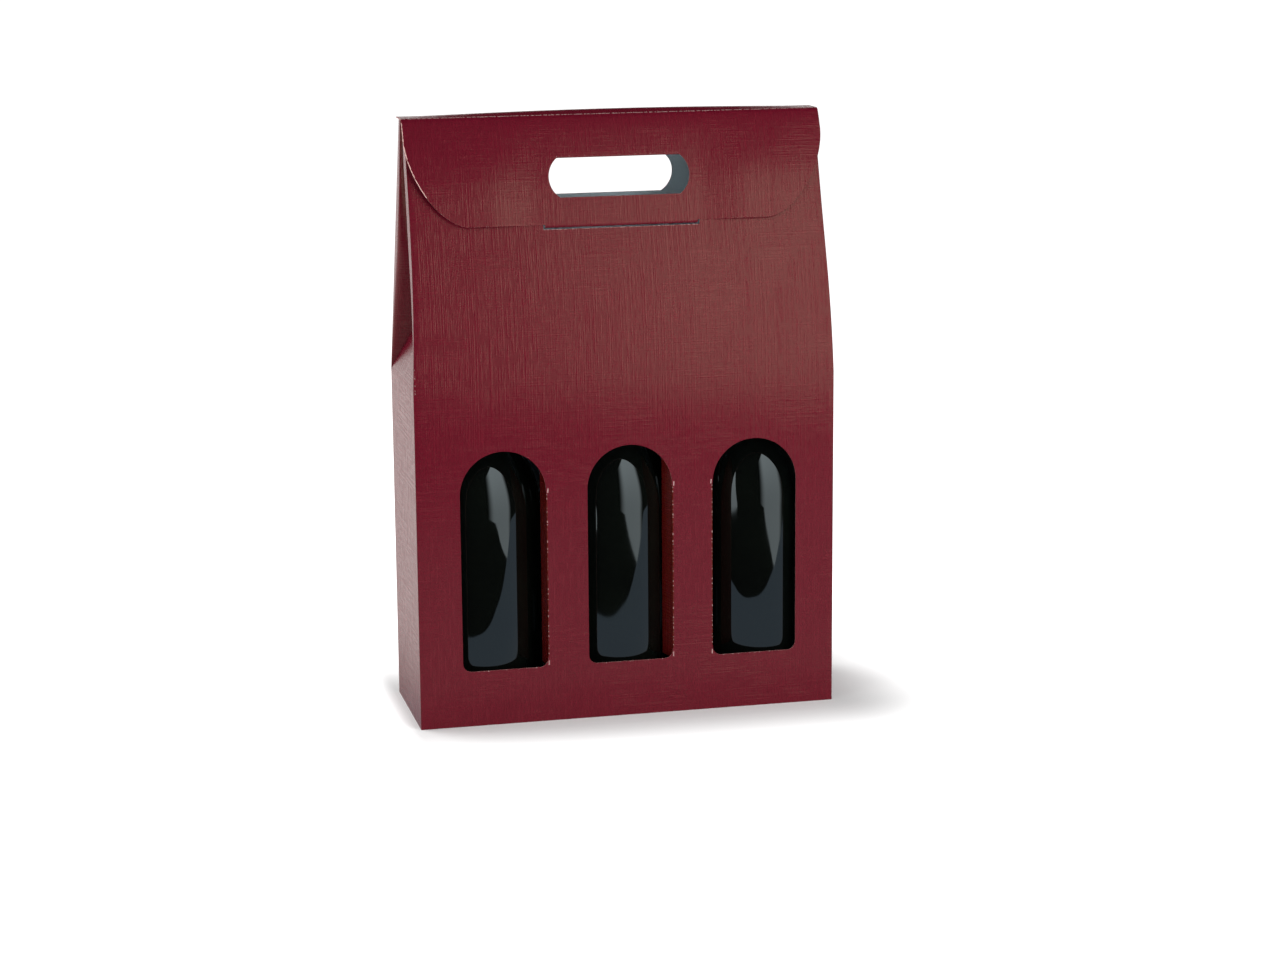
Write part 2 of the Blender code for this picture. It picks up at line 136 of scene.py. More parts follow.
def sharpen_border(mesh):
    """Marks edges with a face on one side only as sharp, so the cut edge doesn't shade into the face."""
    corner_edge = np.empty(len(mesh.loops), np.int32)
    mesh.loops.foreach_get("edge_index", corner_edge)
    border = np.bincount(corner_edge, minlength=len(mesh.edges)) == 1
    marks = mesh.attributes.get("sharp_edge") or mesh.attributes.new("sharp_edge", "BOOLEAN", "EDGE")
    marks.data.foreach_set("value", border)


print("mesh helpers ready")

# %% [markdown]
# ## A sheet of board
# Board is a surface with a thickness, so every wall is made the same way: a grid for its outer
# face, and a Solidify modifier that adds the half millimetre behind it. The modifier can give the
# back and the cut edge material slots of their own, which is just what printed board has: colour
# outside, pale inside, pale edge.

# %% A helper that makes sheets
def sheet(name, points, uv, body, stands_for, outward, keep=None):
    """A sheet of board from a grid of points on its outer face. outward is any vector off that face.
    A sheet without a body is attached to nothing."""
    faces = grid_faces(*points.shape[:2], keep)
    a, b, c, d = (points.reshape(-1, 3)[faces[:, k]] for k in range(4))
    normal = np.cross(c - a, d - b).sum(axis=0)
    if normal @ np.array(outward) < 0:
        faces = faces[:, ::-1]
    item = new_object(name, points, faces, uv)
    merge_doubles(item)
    item.data.shade_smooth()
    sharpen_border(item.data)
    thick = item.modifiers.new("board", "SOLIDIFY")
    thick.thickness = board
    thick.offset = -1.0
    thick.use_even_offset = True
    thick.material_offset, thick.material_offset_rim = 1, 2
    for finish in board_finishes:
        item.data.materials.append(finish)
    if body:
        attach(item, body)
    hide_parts(*stands_for)
    print(name, "has", len(item.data.polygons), "faces on its outer side")
    return item


# %% [markdown]
# ## Small tools for shader nodes
# A material is a graph of nodes. A few small helpers keep the graphs readable: one adds a node and
# sets its sockets, and others make the nodes that are needed most. An effect that several finishes
# share, such as the linen embossing, is built once as a node group with named inputs and outputs.

# %% Node helpers
def set_inputs(tree, node, **sockets):
    """Gives a node's inputs their values or links, by name or, as n0, n1 and so on, by number."""
    for key, value in sockets.items():
        numbered = key[0] == "n" and key[1:].isdigit()
        socket = node.inputs[int(key[1:]) if numbered else key.replace("_", " ")]
        if isinstance(value, bpy.types.NodeSocket):
            tree.links.new(value, socket)
        else:
            socket.default_value = value


def add_node(tree, kind, settings=None, **sockets):
    """Adds a node. settings are its properties, sockets its inputs."""
    node = tree.nodes.new(kind)
    for key, value in (settings or {}).items():
        setattr(node, key, value)
    set_inputs(tree, node, **sockets)
    return node


print("add_node and set_inputs ready")

# %% The nodes that are needed most
def maths(tree, operation, a, b=0.0):
    """One Math node; a and b are numbers or links. Returns its result."""
    return add_node(tree, "ShaderNodeMath", {"operation": operation}, n0=a, n1=b).outputs[0]


def ramp(tree, value, start, end, low=0.0, high=1.0):
    """A smooth step of value from start to end, as a Map Range node."""
    smooth = {"interpolation_type": "SMOOTHSTEP", "clamp": True}
    node = add_node(tree, "ShaderNodeMapRange", smooth, Value=value,
                    From_Min=start, From_Max=end, To_Min=low, To_Max=high)
    return node.outputs["Result"]


def mix_colours(tree, factor, first, second):
    """The first colour where factor is 0, the second where it is 1."""
    mixed = add_node(tree, "ShaderNodeMix", {"data_type": "RGBA"}, Factor=factor, n6=first, n7=second)
    return mixed.outputs[2]


def noise(tree, place, scale, detail):
    """Noise in space, from 0 to 1."""
    return add_node(tree, "ShaderNodeTexNoise", Vector=place, Scale=scale, Detail=detail).outputs["Fac"]


def line_noise(tree, along, scale, detail):
    """Noise along one line, from 0 to 1."""
    one = {"noise_dimensions": "1D"}
    return add_node(tree, "ShaderNodeTexNoise", one, W=along, Scale=scale, Detail=detail).outputs["Fac"]


print("helpers for sums, ramps, mixes and noise ready")

# %% Node groups
def new_group(name, inputs, outputs):
    """A shader node group. inputs are (name, default): one without a default is a place, the others and
    all outputs are numbers. Returns the tree, what comes in and the node that takes the results."""
    tree = bpy.data.node_groups.new(name, "ShaderNodeTree")
    for label, default in inputs:
        kind = "NodeSocketVector" if default is None else "NodeSocketFloat"
        socket = tree.interface.new_socket(name=label, in_out="INPUT", socket_type=kind)
        if default is not None:
            socket.default_value = default
    for label in outputs:
        tree.interface.new_socket(name=label, in_out="OUTPUT", socket_type="NodeSocketFloat")
    return tree, tree.nodes.new("NodeGroupInput").outputs, tree.nodes.new("NodeGroupOutput")


def use_group(tree, group, **sockets):
    """A node that stands for a whole group."""
    return add_node(tree, "ShaderNodeGroup", {"node_tree": group}, **sockets)


print("group helpers ready")

# %% [markdown]
# ## The linen embossing
# The board is rolled between patterned cylinders, which press a fine weave into it: threads about
# half a millimetre wide, a centimetre or two long, some standing higher than others. A photograph
# or a regular grid would look too even. Noise stretched a lot along one direction gives threads of
# uneven length, and two of them at right angles make the weave. A third, slow noise decides where
# the upright or the level threads come out stronger, as they do on the real board.

# %% Linen node group
linen, into, out = new_group(
    "linen_weave", [("Place", None), ("Thread", 0.00085), ("Length", 0.012)], ["Height", "Tint"]
)
thread_edge, break_edge, break_drift, level_seed = (0.36, 0.64), (0.34, 0.58), 0.45, 3.7
slow_scale, least_upright, most_upright, both_shares = 28.0, 0.5, 0.85, 1.15


def thread_noise(tree, source, across, along, turned):
    """Straight threads: noise along one axis only, broken into lengths by a second, stretched noise."""
    parts = add_node(tree, "ShaderNodeSeparateXYZ", Vector=source).outputs
    fine = maths(tree, "DIVIDE", parts[1 if turned else 0], across)
    coarse = maths(tree, "DIVIDE", parts[0 if turned else 1], along)
    lines = line_noise(tree, fine, 1.0, 1.0)
    drift = maths(tree, "MULTIPLY", fine, break_drift)
    place = add_node(tree, "ShaderNodeCombineXYZ", X=drift, Y=coarse, Z=level_seed if turned else 0.0)
    breaks = noise(tree, place.outputs[0], 1.0, 1.0)
    return maths(tree, "MULTIPLY", ramp(tree, lines, *thread_edge), ramp(tree, breaks, *break_edge))


upright = thread_noise(linen, into["Place"], into["Thread"], into["Length"], False)
level = thread_noise(linen, into["Place"], into["Thread"], into["Length"], True)
slow = noise(linen, into["Place"], slow_scale, 1.0)
share = ramp(linen, slow, 0.36, 0.6, least_upright, most_upright)
upright_part = maths(linen, "MULTIPLY", upright, share)
level_part = maths(linen, "MULTIPLY", level, maths(linen, "SUBTRACT", both_shares, share))
height = maths(linen, "ADD", upright_part, level_part)
# Tint is a painted sheen: the higher a thread stands, the lighter its colour is made.
set_inputs(linen, out, Height=height, Tint=ramp(linen, height, 0.30, 0.95))
print("linen group:", len(linen.nodes), "nodes")

# %% [markdown]
# ## Worn lines
# Where a printed sheet is creased hard, its colour cracks and the pale board shows as a thin broken
# line. The group below turns the distance from such a line into a mask: full on the line, gone one
# width away, a quarter of a millimetre or so, and interrupted by noise that runs along it.

# %% Worn line node group
worn, into, out = new_group(
    "worn_line",
    [("Along", 0.0), ("Across", 0.0), ("Width", 0.00025), ("Amount", 0.5), ("Start", -1.0), ("End", 1.0)],
    ["Mask"],
)
wander_scale, break_scale, break_contrast = 260.0, 620.0, 9.0
wander = line_noise(worn, into["Along"], wander_scale, 2.0)
breaks = line_noise(worn, into["Along"], break_scale, 3.0)
offset = maths(worn, "MULTIPLY", maths(worn, "SUBTRACT", wander, 0.5), into["Width"])
distance = maths(worn, "ABSOLUTE", maths(worn, "ADD", into["Across"], offset))
near = maths(worn, "SUBTRACT", 1.0, maths(worn, "DIVIDE", distance, into["Width"]))
near = add_node(worn, "ShaderNodeClamp", Value=near).outputs[0]
threshold = maths(worn, "SUBTRACT", 1.0, into["Amount"])
broken = maths(worn, "MULTIPLY", maths(worn, "SUBTRACT", breaks, threshold), break_contrast)
broken = add_node(worn, "ShaderNodeClamp", Value=broken).outputs[0]
after_start = maths(worn, "GREATER_THAN", into["Along"], into["Start"])
inside = maths(worn, "MULTIPLY", after_start, maths(worn, "LESS_THAN", into["Along"], into["End"]))
mask = maths(worn, "MULTIPLY", maths(worn, "MULTIPLY", near, broken), inside)
set_inputs(worn, out, Mask=mask)
print("worn line group:", len(worn.nodes), "nodes")

# %% [markdown]
# ## The three faces of the board
# Outside: a deep burgundy under a satin varnish. The broad pale sheen isn't painted: the varnish mirrors
# the soft boxes, warm and weak, so the colour stays deep. The embossing tilts it thread by thread, and
# the raised threads are also mixed towards a lighter burgundy, a painted sheen on their tops. Where the
# board isn't quite flat, a slow swell tilts it as a whole. Inside: plain pale grey board with faint
# fibres. Cut edge: the pale core of the board, pinkish where the colour bleeds in.

# %% Board materials: colours and helpers
# The lighter burgundy is a painted sheen, mixed onto the tops of the raised threads.
burgundy, burgundy_thread_sheen = (0.117, 0.0033, 0.0143, 1.0), (0.170, 0.0150, 0.0260, 1.0)
pale_core, bled_core = (0.74, 0.46, 0.42, 1.0), (0.36, 0.10, 0.10, 1.0)
inner_grey = (0.60, 0.72, 0.77, 1.0)
inner_shade = (*(0.88 * v for v in inner_grey[:3]), 1.0)
cracked = (0.62, 0.42, 0.40, 1.0)
varnish_tint = (1.0, 0.94, 0.66, 1.0)


def new_material(name):
    """A material with its tree and its main shader."""
    made = bpy.data.materials.new(name)
    made.use_nodes = True
    tree = made.node_tree
    return made, tree, tree.nodes["Principled BSDF"]


def board_place(tree):
    """Board coordinates in metres, from the piece's own UV map."""
    return add_node(tree, "ShaderNodeUVMap", {"uv_map": "board"}).outputs[0]


def finish_bump(tree, shader, height, strength, distance):
    """A Bump node that feeds the shader's normal. Returns it."""
    bump = add_node(tree, "ShaderNodeBump", Strength=strength, Distance=distance, Height=height)
    set_inputs(tree, shader, Normal=bump.outputs[0])
    return bump


print("burgundy", burgundy[:3], "and inner grey", inner_grey[:3])

# %% Board materials: the outer face
varnish_ior, varnish_rough, tops_smoother = 1.35, (0.205, 0.225), (0.08, -0.04)
emboss_height, emboss_strength = 0.00009, 0.8
thread_sheen_share, slow_waves, rim_noise = 0.45, 9.0, 420.0


def varnish(tree, shader, height, slow, slack, emboss):
    """The satin varnish over the print: a weak, warm mirror image, broken up by the embossing. height is
    the embossing's, from 0 to about 1. slack is how far the board stands off its flat shape, in
    metres, if it does. slow is the noise that makes the roughness uneven."""
    tops = ramp(tree, height, 0.1, 0.8, *tops_smoother)
    rough = maths(tree, "ADD", ramp(tree, slow, 0.3, 0.7, *varnish_rough), tops)
    set_inputs(tree, shader, IOR=varnish_ior, Specular_Tint=varnish_tint, Roughness=rough)
    bump = finish_bump(tree, shader, height, emboss_strength, emboss_height * emboss)
    if slack is not None:
        swollen = add_node(tree, "ShaderNodeBump", Strength=1.0, Distance=1.0, Height=slack)
        set_inputs(tree, bump, Normal=swollen.outputs[0])


def outer_face(name, lines=(), slack=None, lit_rim=0.0, emboss=1.0, face_colour=burgundy):
    """Burgundy linen board. lines are (axis, place, width, amount, start, end) of worn creases, slack is
    (from, to, height): how far the board swells between two distances up the sheet. The rim argument
    is how wide the pale core is painted in from the outline: the core's own colour, widened as a
    painted highlight where the edge catches the light. emboss is how deep the linen is."""
    made, tree, shader = new_material(name)
    place = board_place(tree)
    weave = use_group(tree, linen, Place=place).outputs
    slow = noise(tree, place, slow_waves, 2.0)
    # Painted sheen: raised threads are mixed towards the lighter burgundy.
    tint = maths(tree, "MULTIPLY", weave["Tint"], thread_sheen_share)
    colour = mix_colours(tree, tint, face_colour, burgundy_thread_sheen)
    parts = add_node(tree, "ShaderNodeSeparateXYZ", Vector=place).outputs
    for axis, at, width, amount, start, end in lines:
        mark = use_group(tree, worn, Along=parts[1 - axis], Across=maths(tree, "SUBTRACT", parts[axis], at),
                         Width=width, Amount=amount, Start=start, End=end)
        colour = mix_colours(tree, mark.outputs["Mask"], colour, cracked)
    if lit_rim:
        # Painted highlight, partly the core's real colour: a pale band in from the outline where the lit edge
        # catches the light.
        away = add_node(tree, "ShaderNodeAttribute", {"attribute_name": "lit_rim_distance"}).outputs["Fac"]
        reach = maths(tree, "MULTIPLY", ramp(tree, noise(tree, place, rim_noise, 2.0), 0.25, 0.6), lit_rim)
        colour = mix_colours(tree, maths(tree, "LESS_THAN", away, reach), colour, pale_core)
    set_inputs(tree, shader, Base_Color=colour)
    swell = None if slack is None else ramp(tree, parts[1], slack[0], slack[1], 0.0, slack[2])
    varnish(tree, shader, weave["Height"], slow, swell, emboss)
    return made


print("outer face ready")

# %% Board materials: inside and cut edge
def inner_face(name):
    """Unprinted board: fine fibres and slow clouds of grey."""
    made, tree, shader = new_material(name)
    place = board_place(tree)
    fibres, clouds = noise(tree, place, 900.0, 4.0), noise(tree, place, 24.0, 3.0)
    mixed = maths(tree, "ADD", maths(tree, "MULTIPLY", fibres, 0.4), maths(tree, "MULTIPLY", clouds, 0.6))
    colour = mix_colours(tree, ramp(tree, mixed, 0.3, 0.7), inner_shade, inner_grey)
    set_inputs(tree, shader, Base_Color=colour, Roughness=0.72)
    finish_bump(tree, shader, fibres, 0.2, 0.00008)
    return made


def cut_edge(name):
    """The core of the board, where it is cut."""
    made, tree, shader = new_material(name)
    fuzz = noise(tree, board_place(tree), 1500.0, 3.0)
    colour = mix_colours(tree, ramp(tree, fuzz, 0.35, 0.7), bled_core, pale_core)
    set_inputs(tree, shader, Base_Color=colour, Roughness=0.85)
    finish_bump(tree, shader, fuzz, 0.5, 0.0001)
    return made


board_finishes = (outer_face("burgundy_linen"), inner_face("board_inside"), cut_edge("board_cut_edge"))
print("board finishes:", [finish.name for finish in board_finishes])

# %% [markdown]
# ## Bending a straight strip
# Seen from the side, a creased wall is a line that is straight, bends over a few millimetres and
# is straight again. It is described most simply by its direction at each point: the angle is a
# smooth step at every crease, and adding up sines and cosines of the angle gives the curve. Because
# it is walked along its own length, lengths on the board stay true. The front is pushed out by what
# stands behind it, so its shoulder isn't a crease but a slow bow, eleven centimetres long.

# %% Bent profiles
back_soft, side_soft = 0.006, 0.004
bow_middle, bow_reach = 0.040, 0.056
bow_corrections = 8
walk_samples, wall_samples = 4000, 2000


def smooth_step(t):
    """0 below 0, 1 above 1, and 3 t squared minus 2 t cubed between."""
    t = np.clip(t, 0.0, 1.0)
    return t * t * (3 - 2 * t)


def walk_along(distance, angle):
    """A path from its direction at each distance: the sums of cos(angle) and of sin(angle) times the
    step. Returns how far it runs straight on and how far to the side."""
    middle, step = (angle[1:] + angle[:-1]) / 2, np.diff(distance)
    straight_on = np.concatenate([[0.0], np.cumsum(np.cos(middle) * step)])
    sideways = np.concatenate([[0.0], np.cumsum(np.sin(middle) * step)])
    return straight_on, sideways


def bent_profile(v, bends):
    """Places at distances v along a strip that starts straight up. Each bend is (place, reach of the soft
    zone on either side, angle): the direction turns by angle over a smooth step. Returns in, up, angle."""
    walk = np.linspace(0.0, float(np.max(v)), walk_samples)
    angle = sum(turn * smooth_step((walk - place + soft) / (2 * soft)) for place, soft, turn in bends)
    upward, inward = walk_along(walk, angle)
    return np.interp(v, walk, inward), np.interp(v, walk, upward), np.interp(v, walk, angle)


def front_curve(v):
    """The front seen from the side: its lean grows over the bow. The lean is corrected until the curve
    meets the top crease, and what is left in height is shared out over the slope. Returns in, up, angle."""
    turn = lean
    for _ in range(bow_corrections):
        deep, top_up, _ = bent_profile(np.array([top_crease]), [(shoulder + bow_middle, bow_reach, turn)])
        turn *= (half_depth - crease_y) / deep[0]
    deep, up, angle = bent_profile(v, [(shoulder + bow_middle, bow_reach, turn)])
    return deep, up + (crease_z - top_up[0]) * np.clip((v - shoulder) / slope, 0.0, 1.0), angle


def back_curve(v):
    """The back seen from the side, with a soft crease at the shoulder. Returns in, up, angle."""
    return bent_profile(v, [(shoulder, back_soft, lean)])


def wall_depth(z, curve):
    """How far in the wall with the given curve stands at height z."""
    deep, up, _ = curve(np.linspace(0.0, top_crease, wall_samples))
    return np.interp(z, up, deep)


print("the front has moved in by", np.round(wall_depth(np.array([0.20, 0.217, 0.235]), front_curve), 5))

# %% [markdown]
# ## The front: one sheet from the base to the top crease
# The front has three arched windows, then the bow at the shoulder, then the sloping part with the
# slot for the lid's tab and the inner hole. A Boolean would cut these, but it leaves ragged shading
# near the curves. Instead the grid itself follows the holes: in every row the columns are shared
# out between the hole edges, and the faces inside a hole are simply left out. Above an arch the two
# edges meet and open again. All the cut-outs sit a little to the right of the middle.

# %% Windows, slot and inner hole
cut_shift, window_pitch = 0.0013, 0.08125
windows = [cut_shift + k * window_pitch for k in (-1, 0, 1)]
window_hinges = (1, 1, -1)
window_half, window_foot, window_top, window_corner = 0.02745, 0.0356, 0.1762, 0.0055
spring = window_top - window_half
fold_shift, fold_fade = 0.0007, 0.002
spread_share, spread_run = 0.6, 0.03
lid_length, slot_half, slot_gap = 0.0684, 0.050, 0.0024
slot_low, slot_high = top_crease - lid_length - slot_gap, top_crease - lid_length + slot_gap
inner_low, inner_high = top_crease - 0.0538, top_crease - 0.0210
inner_half, inner_corner = 0.047, 0.006


def rounding(depth, radius):
    """How much an edge draws in at a depth into a quarter circle: r (1 - sqrt(1 - (depth / r) squared))."""
    return radius * (1 - np.sqrt(1 - np.clip(depth / radius, 0.0, 1.0) ** 2))


def window_edges(centre, hinge, v):
    """Left and right edge of a window at heights v: round corners at the foot, straight sides, a half
    circle. The edge that carries the flap stands off by the fold's radius, hinge being its side."""
    above_corner = v - window_foot - window_corner
    half = window_half - rounding(-above_corner, window_corner) - rounding(v - spring, window_half)
    spread = spread_share * window_half * smooth_step((v - window_top) / spread_run)
    half = np.where(v > window_top, spread, half)
    straight = smooth_step(above_corner / fold_fade) * smooth_step((spring - v) / fold_fade)
    left, right = centre - half, centre + half
    if hinge > 0:
        return left, right + fold_shift * straight
    return left - fold_shift * straight, right


def inner_hole_edges(v):
    """The hole behind the handle, a rectangle with round corners."""
    half = inner_half - rounding(inner_corner - np.minimum(v - inner_low, inner_high - v), inner_corner)
    return cut_shift - half, cut_shift + half


print("windows at", np.round(windows, 4), "and a slot from", round(slot_low, 4), "to", round(slot_high, 4))

# %% Rows up the front
edge_band, shoulder_band, top_margin = 0.003, 0.020, 0.0002
quarter_turn = math.pi / 2
arch_rows = spring + window_half * np.sin(np.linspace(0, quarter_turn, 19))
foot_rows = window_foot + window_corner * (1 - np.cos(np.linspace(0, quarter_turn, 7)))
corner_rows = inner_corner * (1 - np.cos(np.linspace(0, quarter_turn, 6)))
straight_from = foot_rows[-1]


def joined_rows(*bands):
    """Row distances from several bands, sorted, with those that fall together kept once."""
    return np.unique(np.round(np.concatenate(bands), 7))


front_rows = joined_rows(
    np.linspace(0, window_foot, 6),
    foot_rows,
    np.linspace(straight_from, straight_from + edge_band, 5),
    np.linspace(straight_from, spring, 14),
    np.linspace(spring - edge_band, spring, 5),
    arch_rows,
    np.linspace(window_top, shoulder - shoulder_band, 6),
    np.linspace(shoulder - shoulder_band, shoulder + shoulder_band, 21),
    np.linspace(shoulder + shoulder_band, slot_low, 12),
    [slot_low, slot_high],
    np.linspace(slot_high, inner_low, 4),
    inner_low + corner_rows,
    inner_high - corner_rows,
    np.linspace(inner_low + inner_corner, inner_high - inner_corner, 4),
    np.linspace(inner_high, top_crease - top_margin, 5),
)
print(len(front_rows), "rows up the front")

# %% [markdown]
# ## Walls with folded edges
# The last few columns at either end turn back through a quarter circle, so that the vertical edges
# of the box are folds and not razor-sharp corners. The side walls and the curled wings start where
# this quarter circle ends. The wings also pull the front's edges in by a millimetre.

# %% A helper for front and back
front_waist = 0.0010
fold_angles = np.linspace(quarter_turn, 0, 6)[:-1]


def width_at(v, waist=0.0):
    """Half the box's width at distance v up the board: constant, then tapering to the top crease, less
    waist times a half sine wave on the slope."""
    share = np.clip((v - shoulder) / slope, 0.0, 1.0)
    return half_width - side_taper * share - waist * np.sin(math.pi * share)


def wall_points(v, columns, curve, waist=0.0, facing=-1):
    """A wall as a grid: columns holds x for every row between the folds. A fold column at angle t lies r
    sin t further out and r (1 - cos t) deeper. facing is -1 for the front and 1 for the back. Returns
    points and board coordinates."""
    deep, up, angle = curve(v)
    reach = width_at(v, waist)[:, None] - fold_radius
    fold_x = reach + fold_radius * np.sin(fold_angles)
    fold_along = reach + fold_radius * fold_angles
    fold_sunk = np.broadcast_to(fold_radius * (1 - np.cos(fold_angles)), fold_x.shape)
    x = np.concatenate([-fold_x, columns, fold_x[:, ::-1]], axis=1)
    sunk = np.concatenate([fold_sunk, np.zeros_like(columns), fold_sunk[:, ::-1]], axis=1)
    along = np.concatenate([-fold_along, columns, fold_along[:, ::-1]], axis=1)
    y = facing * (half_depth - deep[:, None] - sunk * np.cos(angle)[:, None])
    z = up[:, None] - sunk * np.sin(angle)[:, None]
    return stacked(x, y, z), stacked(along, v[:, None])


def shared_columns(edges, steps, reach):
    """Columns from -reach to reach, shared out between the given pairs of left and right edges. Also says
    for every column of faces, folds included, which stretch it lies in; a fold is -1."""
    marks = [-reach] + [side for pair in edges for side in pair] + [reach]
    parts = [a[:, None] + (b - a)[:, None] * np.linspace(0, 1, count + 1)[:-1]
             for a, b, count in zip(marks, marks[1:], steps)]
    fold = [-1] * len(fold_angles)
    stretch = np.array(fold + [k for k, count in enumerate(steps) for _ in range(count)] + fold)
    return np.concatenate(parts + [marks[-1][:, None]], axis=1), stretch


def between(v, low, high):
    """Which rows of faces have their middle between two distances, as a column."""
    middle = (v[1:] + v[:-1]) / 2
    return ((middle > low) & (middle < high))[:, None]


print("folds of", fold_radius * 1000, "mm in", len(fold_angles), "columns")

# %% Build the front
def changing_edges(first, second, share):
    """Edges that turn from the first pair into the second as share goes from 0 to 1."""
    return tuple(a + (b - a) * share for a, b in zip(first, second))


v = front_rows
front_edges = [window_edges(centre, hinge, v) for centre, hinge in zip(windows, window_hinges)]
turn_from, turn_short = 0.010, 0.012
to_slot = smooth_step((v - window_top - turn_from) / (slot_low - window_top - turn_short))
to_hole = smooth_step((v - slot_high) / (inner_low - slot_high))
front_edges[1] = changing_edges(front_edges[1], (cut_shift - slot_half, cut_shift + slot_half), to_slot)
front_edges[1] = changing_edges(front_edges[1], inner_hole_edges(v), to_hole)
front_steps = [10, 12, 8, 14, 8, 12, 10]
columns, stretch = shared_columns(front_edges, front_steps, width_at(v, front_waist) - fold_radius)
points, uv = wall_points(v, columns, front_curve, front_waist)
window_stretches, middle_stretch = (1, 3, 5), 3
holes = between(v, window_foot, window_top) & np.isin(stretch, window_stretches)
holes |= (between(v, slot_low, slot_high) | between(v, inner_low, inner_high)) & (stretch == middle_stretch)
front = sheet("front_sheet", points, uv, "carton", ("front_panel", "front_sloping_panel"), (0, -1, 0), ~holes)

# %% [markdown]
# ## Where the front is worn
# The print has cracked along the flaps' folds, at the small nicks that end them, under the windows,
# at the lower lip of the slot and where the left fold starts to lean. The lower front also swells
# a little: that is too slow to need more faces, so it is a height for the bump node.

# %% Worn lines on the front
across, up_the_board = 0, 1
cut_reach = 0.75 * window_half
front_lines = []
for centre, hinge in zip(windows, window_hinges):
    fold_x = centre + hinge * (window_half + fold_shift)
    front_lines += [
        (across, fold_x + hinge * 0.0001, 0.0002, 0.26, window_foot + 0.004, spring),
        (across, fold_x + hinge * 0.0003, 0.0005, 0.80, spring - 0.0004, spring + 0.0024),
        (across, fold_x - hinge * 0.0003, 0.0004, 0.70, window_foot + 0.0010, window_foot + 0.0040),
        (up_the_board, window_foot - 0.0002, 0.00028, 0.42, centre - cut_reach, centre + cut_reach),
    ]
front_lines += [
    (up_the_board, slot_low - 0.0001, 0.0003, 0.52, cut_shift - slot_half, cut_shift + slot_half),
    (across, -half_width + 0.0011, 0.00022, 0.50, shoulder - 0.003, shoulder + 0.014),
]
front.data.materials[0] = outer_face("front_linen", lines=front_lines, slack=(0.030, 0.225, 0.0195))
print(len(front_lines), "worn lines on the front")

# %% [markdown]
# ## The back
# The back is the same sheet without windows. Its carrying hole has bulging ends, which are arcs of
# a circle through the corners.

# %% Build the back
back_low, back_high = top_crease - 0.0533, top_crease - 0.0280
handle_reach, handle_bulge = 0.045, 0.0066
crease_soft, crease_band = 0.0008, 0.0012
fold_end, bend_half = 0.0003, 0.0005


def bulged_edges(v, low, high, centre, reach, bulge):
    """Left and right edge of a hole whose ends are circle arcs that bulge by the given amount."""
    chord = high - low
    radius = (chord**2 / 4 + bulge**2) / (2 * bulge)
    off = np.clip(v, low, high) - (low + high) / 2
    half = reach - radius + np.sqrt(radius**2 - off**2)
    return centre - half, centre + half


def back_and_over(v):
    """The back's curve, which goes on over the top crease until it lies flat."""
    return bent_profile(v, [(shoulder, back_soft, lean), (top_crease, crease_soft, quarter_turn - lean)])


v = joined_rows(
    np.linspace(0, shoulder - back_soft, 14),
    np.linspace(shoulder - back_soft, shoulder + back_soft, 13),
    np.linspace(shoulder + back_soft, back_low, 12),
    np.linspace(back_low, back_high, 17),
    np.linspace(back_high, top_crease - crease_band, 6),
    top_crease + np.linspace(-crease_band, crease_band, 13),
)
back_edges = [bulged_edges(v, back_low, back_high, 0.0, handle_reach, handle_bulge)]
columns, stretch = shared_columns(back_edges, [22, 22, 22], width_at(v) - fold_radius)
points, uv = wall_points(v, columns, back_and_over, facing=1)
holes = between(v, back_low, back_high) & (stretch == 1)
holes |= between(v, top_crease - fold_end, math.inf) & (stretch == -1)
back = sheet("back_sheet", points, uv, None, ("back_panel", "back_sloping_panel"), (0, 1, 0), ~holes)
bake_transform(back)

# %% [markdown]
# ## Sides and gussets
# Each side is one strip too: straight up to the shoulder, then it leans in as a triangle between
# two diagonal creases. Its rows simply get shorter until they meet at the tip.

# %% Build the sides
side_band, side_clear = 0.020, 0.005
side_rows = np.concatenate([
    np.linspace(0, shoulder - side_band - 0.002, 10),
    shoulder + np.linspace(-side_band, -side_clear, 7),
    shoulder + np.linspace(-side_soft, side_soft, 13),
    np.linspace(shoulder + side_clear, shoulder + gusset_length, 20),
])
side_columns = np.linspace(0, 1, 41)
apex_in, apex_up = gusset_length * math.sin(gusset_lean), gusset_length * math.cos(gusset_lean)


def side_reach(z, curve):
    """How far the side reaches forward or back at height z: up to the fold of the front or back wall."""
    return half_depth - wall_depth(z, curve) - fold_radius


def diagonal_place(up):
    """Shares along the gusset's diagonal crease at heights up above the shoulder: 0 at the corner, 1 at
    its tip."""
    return np.clip(up / apex_up, 0.0, 1.0)


side_linen = outer_face("side_linen", emboss=0.25)
side_deep, side_up, _ = bent_profile(side_rows, [(shoulder, side_soft, gusset_lean)])
for side, name in ((-1, "left"), (1, "right")):
    fade = 1 - diagonal_place(side_up - shoulder)
    at = np.minimum(side_up, shoulder)
    front_reach, back_reach = side_reach(at, front_curve) * fade, side_reach(at, back_curve) * fade
    y = -front_reach[:, None] + (front_reach + back_reach)[:, None] * side_columns
    points = stacked(side * (half_width - side_deep)[:, None], y, side_up[:, None])
    uv = stacked(y, side_rows[:, None])
    replaced = (name + "_side_panel", name + "_gusset")
    panel = sheet(name + "_side_sheet", points, uv, "carton", replaced, outward=(side, 0, 0))
    panel.data.materials[0] = side_linen

# %% [markdown]
# ## The curled wings
# Between a sloping panel and the folded-in triangle the board has to curl, because it is creased on
# two sides that are not parallel. Each level of a wing leaves the panel's fold straight back for a
# few millimetres. Then it is a quadratic curve, which bulges and comes in to the diagonal or,
# higher up, to the crease in the middle of the side. The curve's middle point makes it bulge.

